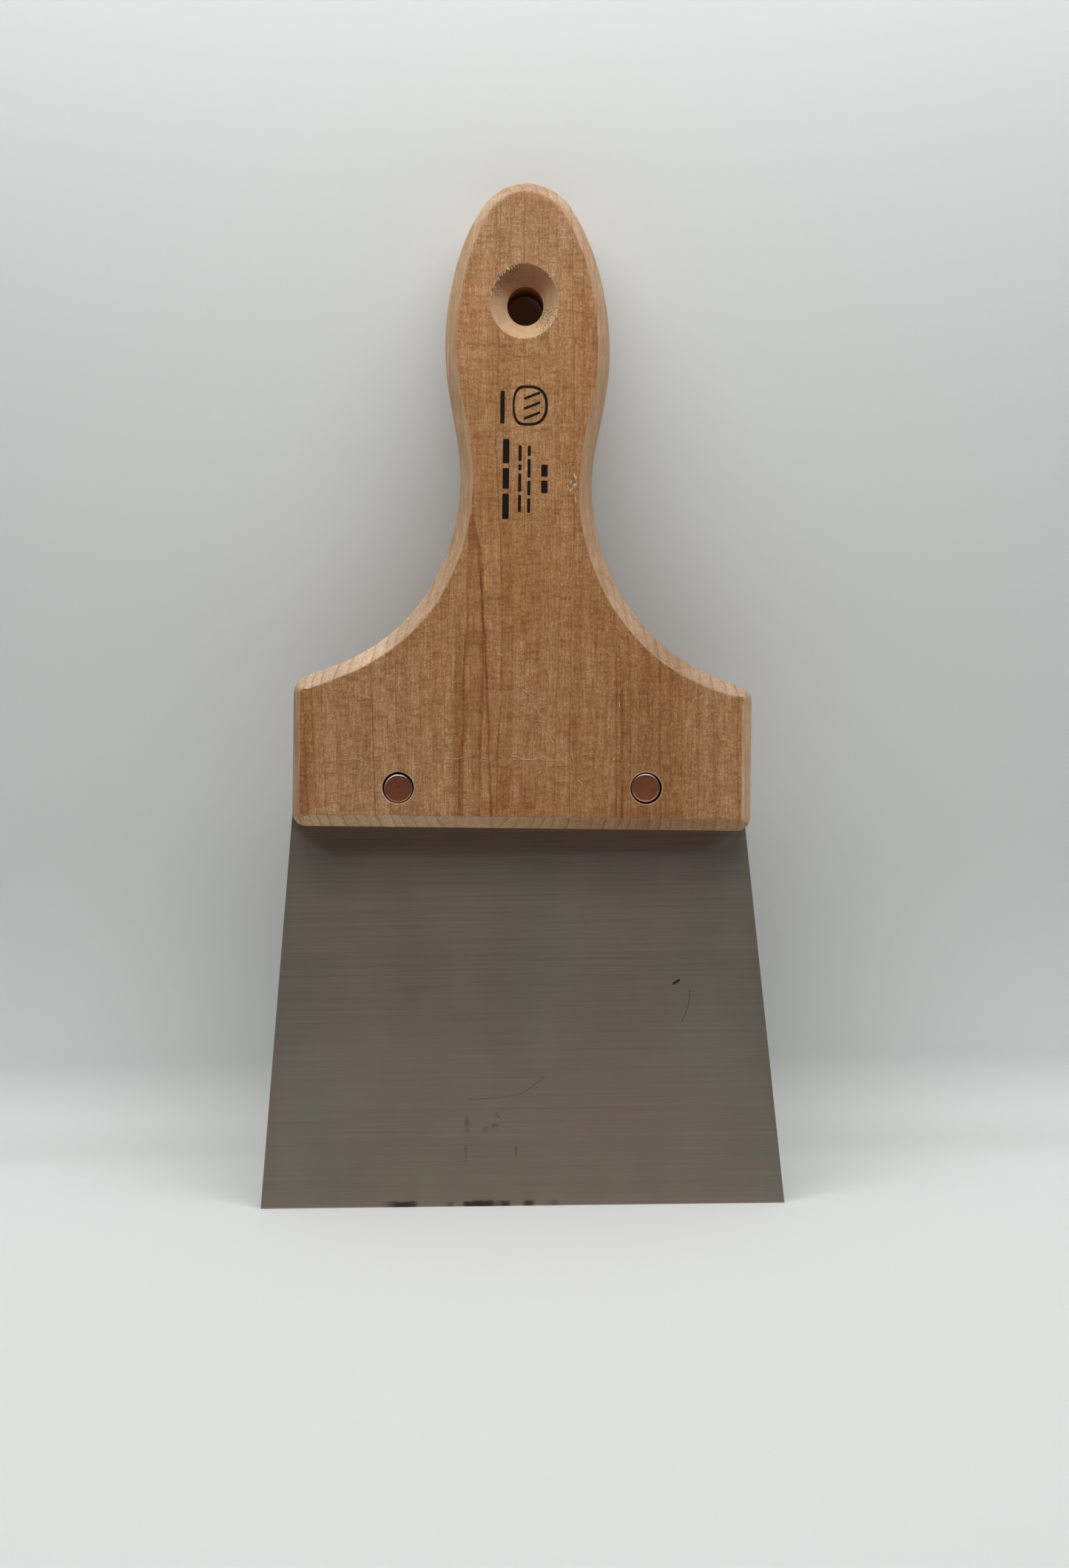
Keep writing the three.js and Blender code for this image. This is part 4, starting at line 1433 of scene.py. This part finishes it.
# ---------------------------------------------------------------------------
# other materials
# ---------------------------------------------------------------------------
def fibre_material():
    material = start_material("torn_wood_fibre")
    P = object_mm()
    broad = noise(P, scale=(2.2, 2.2, 0.6), offset=(1, 1, 1))
    fine = noise(P, scale=(9, 9, 1.2), offset=(3, 1, 1))
    lum = 1 + broad * 0.22 + fine * 0.10
    output(principled(
        Base_Color=scale_rgb((0.78, 0.585, 0.395), lum, lum, lum * (1 + broad * 0.08)),
        Roughness=0.66 + broad * 0.05, Specular_IOR_Level=0.25,
        Normal=bump(fine, strength=0.5, distance=0.00003)))
    return material


def ink_material():
    material = start_material("print_ink")
    P = object_mm()
    fibre = noise(P, scale=(3.2, 1, 0.35), offset=(1, 2, 3), detail=3, rough=0.65)
    blot = noise(P, scale=(1.1, 1, 1.1), offset=(4, 2, 9), detail=3, rough=0.6)
    worn = ramp(fibre + blot * 0.6, 0.35, 1.1)
    output(principled(
        Base_Color=mix(worn * 0.6, (0.011, 0.008, 0.006, 1), (0.12, 0.068, 0.036, 1)),
        Roughness=0.58 + blot * 0.06, Specular_IOR_Level=0.08,
        Normal=bump(fibre, strength=0.4, distance=0.00003)))
    return material


# marks on the blade's front, points in (x, z)
SHORT_SCRATCH = ((41.1, 58.9), (42.5, 59.8))
CURVED_SCRATCH = ((45.35, 57.1), (45.3, 55.2), (44.95, 53.0), (44.2, 51.0), (43.2, 49.0))
FAINT_SWEEP = ((-14.3, 28.5), (-7.2, 28.9), (-2.6, 29.4), (0.2, 30.1), (2.6, 31.6), (6.1, 34.4))
# smudges: centre x, z and radii
SMUDGES = (
    (-14.6, 22.2, 0.7, 2.6), (-15.0, 14.5, 0.5, 3.0), (-6.3, 23.9, 1.6, 0.8),
    (-7.1, 21.6, 0.9, 1.2), (-9.6, 20.2, 0.7, 1.6), (-1.6, 15.0, 0.5, 1.6),
)


def scratch(x, z, points, outer, inner):
    """1 within inner of the path, 0 beyond outer."""
    mask = None
    for (ax, az), (bx, bz) in zip(points[:-1], points[1:]):
        dx, dz = bx - ax, bz - az
        t = ((x - ax) * dx + (z - az) * dz) / (dx * dx + dz * dz)
        t = least(most(t, 0), 1)
        ex, ez = x - (t * dx + ax), z - (t * dz + az)
        part = ramp(calc("SQRT", ex * ex + ez * ez), outer, inner)
        mask = part if mask is None else most(mask, part)
    return mask


def smudges(P, x, z):
    ragged = noise(P, scale=(0.9, 1, 0.7), offset=(3, 1, 3), detail=3, rough=0.7)
    total = None
    for cx, cz, rx, rz in SMUDGES:
        part = ramp(radius((x - cx) / rx, (z - cz) / rz) + ragged * 1.5, 1, 0.35)
        total = part if total is None else total + part
    return total


def steel_material():
    material = start_material("brushed_steel")
    P = object_mm()
    x, y, z = split(P)
    # brushing lines lie across the width
    brush = noise(P, scale=(0.020, 1, 2.6), offset=(1, 1, 1), detail=3, rough=0.6)
    fine_brush = noise(P, scale=(0.050, 1, 7.5), offset=(5, 1, 3), detail=3, rough=0.65)
    broad_brush = noise(P, scale=(0.004, 1, 0.55), offset=(5, 7, 3))
    cloud = noise(P, scale=(0.045, 1, 0.022), offset=(2, 1, 5), detail=3.5, rough=0.6)
    warm = noise(P, scale=(0.055, 1, 0.030), offset=(8, 1, 5), detail=2.5, rough=0.55)
    # painted shadow of the handle across the blade's top, its ends cut diagonally past |x| = 50 mm
    height = z - most(abs(x) - 50, 0) * 0.75 + cloud * 0.8
    painted_handle_shadow = ramp(height, 92.8, 95.2) * 0.65 + ramp(height, 92, 103) * 0.35
    low_fade = 1 - ramp(z, 70, 40) * 0.45
    # painted light: a brighter band around z = 79 mm and darker towards the working edge
    lift = bell(z, 79, 13) * 0.13 - ramp(z, 42, 16) * 0.06
    lum = 1 + (brush * 0.13 + fine_brush * 0.20) * low_fade + broad_brush * 0.035 \
        + cloud * 0.085 + lift
    side = ramp(abs(x), 38, 60)
    r = lum * (1 + warm * 0.055 - side * 0.045)
    g = lum * (1 - warm * 0.050 + side * 0.012)
    b = lum * (1 + warm * 0.010 + side * 0.01)
    # the painted handle shadow darkens and browns the colour here
    colour = scale_rgb((0.272, 0.222, 0.182), r * (1 - painted_handle_shadow * 0.22), g * (1 - painted_handle_shadow * 0.38),
                       b * (1 - painted_handle_shadow * 0.44))

    front = ramp(y, -0.2, 0, 1, 0)
    short = scratch(x, z, SHORT_SCRATCH, outer=0.42, inner=0.20)
    curved = scratch(x, z, CURVED_SCRATCH, outer=0.20, inner=0.06)
    sweep = scratch(x, z, FAINT_SWEEP, outer=0.24, inner=0.072)
    smudge = smudges(P, x, z)
    # dark residue along part of the working edge
    edge_noise = noise(P, scale=(0.30, 1, 0.6), offset=(7, 1, 7), detail=3, rough=0.6)
    residue = ramp(z + edge_noise * 0.8, 1.75, 1.05) \
        * ramp(noise(P, scale=(0.11, 1, 0.01), offset=(1, 1, 4)), -0.22, 0.02) \
        * window(x, -38, -33, 6, 11)
    dull = least(smudge * 0.55 + residue * 0.9, 1) * front
    colour = mix(most(short, curved * 0.45) * front * 0.95, colour, (0.030, 0.024, 0.018, 1))
    colour = mix(sweep * front * 0.42, colour, (0.10, 0.088, 0.070, 1))
    colour = mix(smudge * front * 0.40, colour, (0.10, 0.080, 0.060, 1))
    colour = mix(residue * front * 0.85, colour, (0.045, 0.035, 0.028, 1))
    # thin pale wear line along the working edge
    wear = ramp(z, 0.34, 0.10) * 0.35
    colour = mix(wear * (1 - residue), colour, (0.66, 0.63, 0.57, 1))
    output(principled(
        Base_Color=colour, Metallic=1,
        Roughness=0.36 + brush * 0.03 + fine_brush * 0.03 + cloud * 0.02 + dull * 0.16,
        Normal=bump(brush * 0.5 + fine_brush * 0.5, strength=0.35, distance=0.000012),
        Anisotropic=0.72, Tangent=xyz(0, 0, 1)))
    return material


# turn moves the patterns, lift brightens the face (the right head is the brighter one),
# glint_angle is where round the bevel the painted glint sits, in radians
COPPER_LOOKS = {
    "left": dict(turn=0.7, lift=1.0, glint_angle=1.90),
    "right": dict(turn=2.8, lift=1.14, glint_angle=1.50),
}


def copper_material(side, turn, lift, glint_angle):
    material = start_material(f"copper_rivet_{side}")
    P = object_mm()
    x, y, z = split(P)
    r = calc("SQRT", x * x + z * z)
    angle = calc("ARCTAN2", z, x)
    round_axis = xyz(calc("COSINE", angle + turn), calc("SINE", angle + turn), 0)
    sector = noise(round_axis, scale=(1.4, 1.4, 1), offset=(turn, 0, 0), detail=1)
    lathe = noise(xyz(r, 0, 0), scale=(7, 1, 1), offset=(turn, 0, 0), detail=3, rough=0.6)
    spots = noise(P, scale=(1.3, 1.3, 1.3), offset=(turn, 4, 1), detail=3, rough=0.6)
    rim = ramp(r, 3.42, 3.47)
    lum = 1 + sector * 0.07 + lathe * 0.02 + spots * 0.05
    face = scale_rgb((0.83 * lift, 0.285 * lift, 0.150 * lift),
                     lum, lum * (1 + sector * 0.05), lum * (1 + sector * 0.06))
    face = mix(ramp(spots, 0.2, 0.9) * 0.25, face, (0.40, 0.16, 0.11, 1))
    # dark dot near the middle
    dot = ramp(radius(x + 0.15, z - 0.45) + spots * 0.12, 0.30, 0.08)
    face = mix(dot * 0.55, face, (0.33, 0.075, 0.05, 1))
    # painted glint: the bevel glows by emission where it faces the overhead light
    glint = rim * bell(abs(angle - glint_angle), 0, 0.62) * ramp(r, 3.66, 3.58) \
        * ramp(y, 0, -1) * 0.95
    # the bevel ring is coloured pale, glossy and less metallic: a painted highlight
    output(principled(
        Base_Color=mix(rim, face, (0.98, 0.82, 0.69, 1)), Metallic=1 - rim * 0.10,
        Roughness=mix(rim, 0.34 + lathe * 0.02 + spots * 0.03, 0.14, "FLOAT"),
        Normal=bump(lathe, strength=0.25, distance=0.00001),
        Emission_Color=(1, 0.90, 0.80, 1), Emission_Strength=glint))
    return material


def sweep_material():
    material = start_material("pale_sweep")
    P = object_mm()
    broad = noise(P, scale=(0.004, 0.004, 0.004), offset=(1, 1, 1))
    fine = noise(P, scale=(0.9, 0.9, 0.9), offset=(1, 1, 5), detail=3, rough=0.6)
    lum = 1 + broad * 0.008 + fine * 0.003
    # painted bounce light: paler on the back's lower part and on the floor towards the bend
    x, y, z = split(P)
    foot = ramp(z, 100, 28) * ramp(z, 3, 14) * (ramp(abs(x), 60, 170) * 0.05 + 0.11)
    lum = lum * (1 + foot + ramp(z, 6, 1) * ramp(y, -140, 10) * 0.05)
    colour = scale_rgb((0.785, 0.80, 0.792), lum, lum, lum)
    # deep shade where the handle's hole meets the sheet
    x, _, z = split(P)
    from_hole = calc("SQRT", x * x + (z - 239) ** 2)
    colour = mix(ramp(from_hole, 13, 8) * 0.95, colour, (0.17, 0.072, 0.022, 1))
    # painted dark reflection: to glossy rays the floor turns dark far in front of the blade, as if
    # it ended there
    path = node("ShaderNodeLightPath").outputs
    x, y, z = split(P)
    far = ramp(y, -330, -560) * Value(path["Is Glossy Ray"])
    colour = mix(far * 0.93, colour, (0.05, 0.045, 0.04, 1))
    sheet = principled(Base_Color=colour, Roughness=0.85, Specular_IOR_Level=0.1)
    # the sheet fades into the room further out
    distance = calc("SQRT", x * x + y * y + (z - 120) ** 2)
    fade = ramp(distance, 520, 820) * Value(path["Is Camera Ray"])
    # the low light behind reaches the object's back through the sheet
    geometry = node("ShaderNodeNewGeometry").outputs
    ray_x, ray_y, ray_z = split(Value(geometry["Incoming"]))
    length = Value(path["Ray Length"]) * 1000
    from_x, from_y, from_z = x + ray_x * length, y + ray_y * length, z + ray_z * length
    on_object = calc("LESS_THAN", abs(from_x), 72) * calc("LESS_THAN", abs(from_y), 12) \
        * calc("GREATER_THAN", from_z, 1)
    through = on_object * calc("LESS_THAN", length, 130) * Value(path["Is Shadow Ray"])
    # seen from behind the sheet isn't there, so the object's back can be looked at
    clear = most(most(Value(geometry["Backfacing"]), fade), through)
    glass = Value(node("ShaderNodeBsdfTransparent").outputs[0])
    output(put_all(node("ShaderNodeMixShader"), clear, sheet, glass))
    return material


# ---------------------------------------------------------------------------
# build
# ---------------------------------------------------------------------------
def finish_piece(ob, material, slot, *nodes):
    ob.data.materials.append(material)
    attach(ob, "root")
    if nodes:
        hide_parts(*nodes)


wood, fibre, ink, steel = wood_material(), fibre_material(), ink_material(), steel_material()
finish_piece(make_handle(), wood, "handle_wood", "wooden_handle")
finish_piece(make_blade(), steel, "blade_steel", "blade")
for side, look in COPPER_LOOKS.items():
    copper = copper_material(side, **look)
    tube, pin = make_rivet(side)
    finish_piece(tube, copper, "rivet_copper", f"rivet_{side}_tube")
    finish_piece(pin, copper, "rivet_copper", f"rivet_{side}_pin")
for make, material in ((make_rim_fibres, fibre), (make_chip, fibre), (make_face_fibres, fibre),
                       (make_pictogram, ink), (make_word_bars, ink)):
    finish_piece(make(), material, "handle_wood")


# ---------------------------------------------------------------------------
# pale sweep, lights, camera; in metres
# ---------------------------------------------------------------------------
def make_sweep():
    """Floor, a bend behind the blade and a back that leans in until the handle rests on it."""
    lean = math.atan2(0.043, 0.217)
    bend_r = 0.025
    touch = Vector((0.0, HALF * MM + 0.0004, 0.2676))
    up = Vector((0.0, -math.sin(lean), math.cos(lean)))          # up the back
    normal = Vector((0.0, -math.cos(lean), -math.sin(lean)))     # its face, to the viewer
    # the bend's centre, tangent to floor and back
    centre = touch + up * ((bend_r - touch.z - bend_r * normal.z) / up.z) + normal * bend_r
    start, end = -math.pi / 2, math.atan2(-normal.z, -normal.y)
    profile = [(-2.4, 0.0), (-0.5, 0.0), (centre.y - 0.02, 0.0)]
    for k in range(41):
        a = start + (end - start) * k / 40
        profile.append((centre.y + bend_r * math.cos(a), centre.z + bend_r * math.sin(a)))
    for length in (0.15, 0.45, 1.4):
        p = centre - normal * bend_r + up * length
        profile.append((p.y, p.z))
    columns = [-1.8, -0.5, 0.0, 0.5, 1.8]
    n = len(columns)
    faces = [(i * n + j, i * n + j + 1, (i + 1) * n + j + 1, (i + 1) * n + j)
             for i in range(len(profile) - 1) for j in range(n - 1)]
    mesh = bpy.data.meshes.new("pale_sweep")
    mesh.from_pydata([(x, y, z) for y, z in profile for x in columns], [], faces)
    for polygon in mesh.polygons:
        polygon.use_smooth = True
    mesh.materials.append(sweep_material())
    ob = bpy.data.objects.new("pale_sweep", mesh)
    bpy.context.scene.collection.objects.link(ob)


def area(name, place, target, size, power):
    light = bpy.data.lights.new(name, "AREA")
    light.shape = "RECTANGLE"
    light.size, light.size_y = size
    light.energy = power
    ob = bpy.data.objects.new(name, light)
    bpy.context.scene.collection.objects.link(ob)
    ob.location = place
    ob.rotation_euler = (Vector(target) - Vector(place)).to_track_quat("-Z", "Y").to_euler()


# name, place, target, size, power in watts; the last is for looking at the object's back
LIGHTS = [
    ("overhead_strip", (0.0, -0.16, 0.62), (0.0, -0.05, 0.0), (0.8, 0.3), 2.36),
    ("overhead_softbox", (0.0, -0.20, 1.20), (0.0, -0.05, 0.0), (1.8, 1.4), 1.32),
    ("overhead_back", (0.0, -0.22, 0.50), (0.0, 0.0, 0.35), (0.7, 0.2), 1.20),
    ("right_fill", (0.9, -0.25, 0.35), (0.0, 0.0, 0.1), (0.6, 0.8), 0.20),
    ("back_softbox", (0.0, 0.95, 0.24), (0.0, 0.0, 0.14), (1.2, 0.5), 1.3),
]


def make_world():
    """Dim as a light, pale grey to the camera."""
    global tree
    world = bpy.data.worlds.new("soft_room")
    bpy.context.scene.world = world
    world.use_nodes = True
    tree = world.node_tree
    tree.nodes.clear()
    seen = Value(node("ShaderNodeLightPath").outputs["Is Camera Ray"])
    dim = put_all(node("ShaderNodeBackground"), (0.95, 0.97, 1, 1), 0.02)
    pale = put_all(node("ShaderNodeBackground"), (0.66, 0.66, 0.655, 1), 1)
    put(node("ShaderNodeOutputWorld").inputs[0],
        put_all(node("ShaderNodeMixShader"), seen, dim, pale))


def make_camera():
    camera = bpy.data.cameras.new("camera")
    camera.sensor_width = 36.0
    camera.lens = 36.03398
    camera.clip_start, camera.clip_end = 0.01, 20.0
    ob = bpy.data.objects.new("camera", camera)
    bpy.context.scene.collection.objects.link(ob)
    ob.matrix_world = (Matrix.Translation((0.00454, -0.4197, 0.11265))
                       @ Matrix.Rotation(math.radians(0.68), 4, "Y")
                       @ Matrix.Rotation(math.radians(90), 4, "X"))
    bpy.context.scene.camera = ob


make_sweep()
for light in LIGHTS:
    area(*light)
make_world()
make_camera()
bpy.context.scene.view_settings.view_transform = "Standard"
bpy.context.scene.view_settings.look = "None"
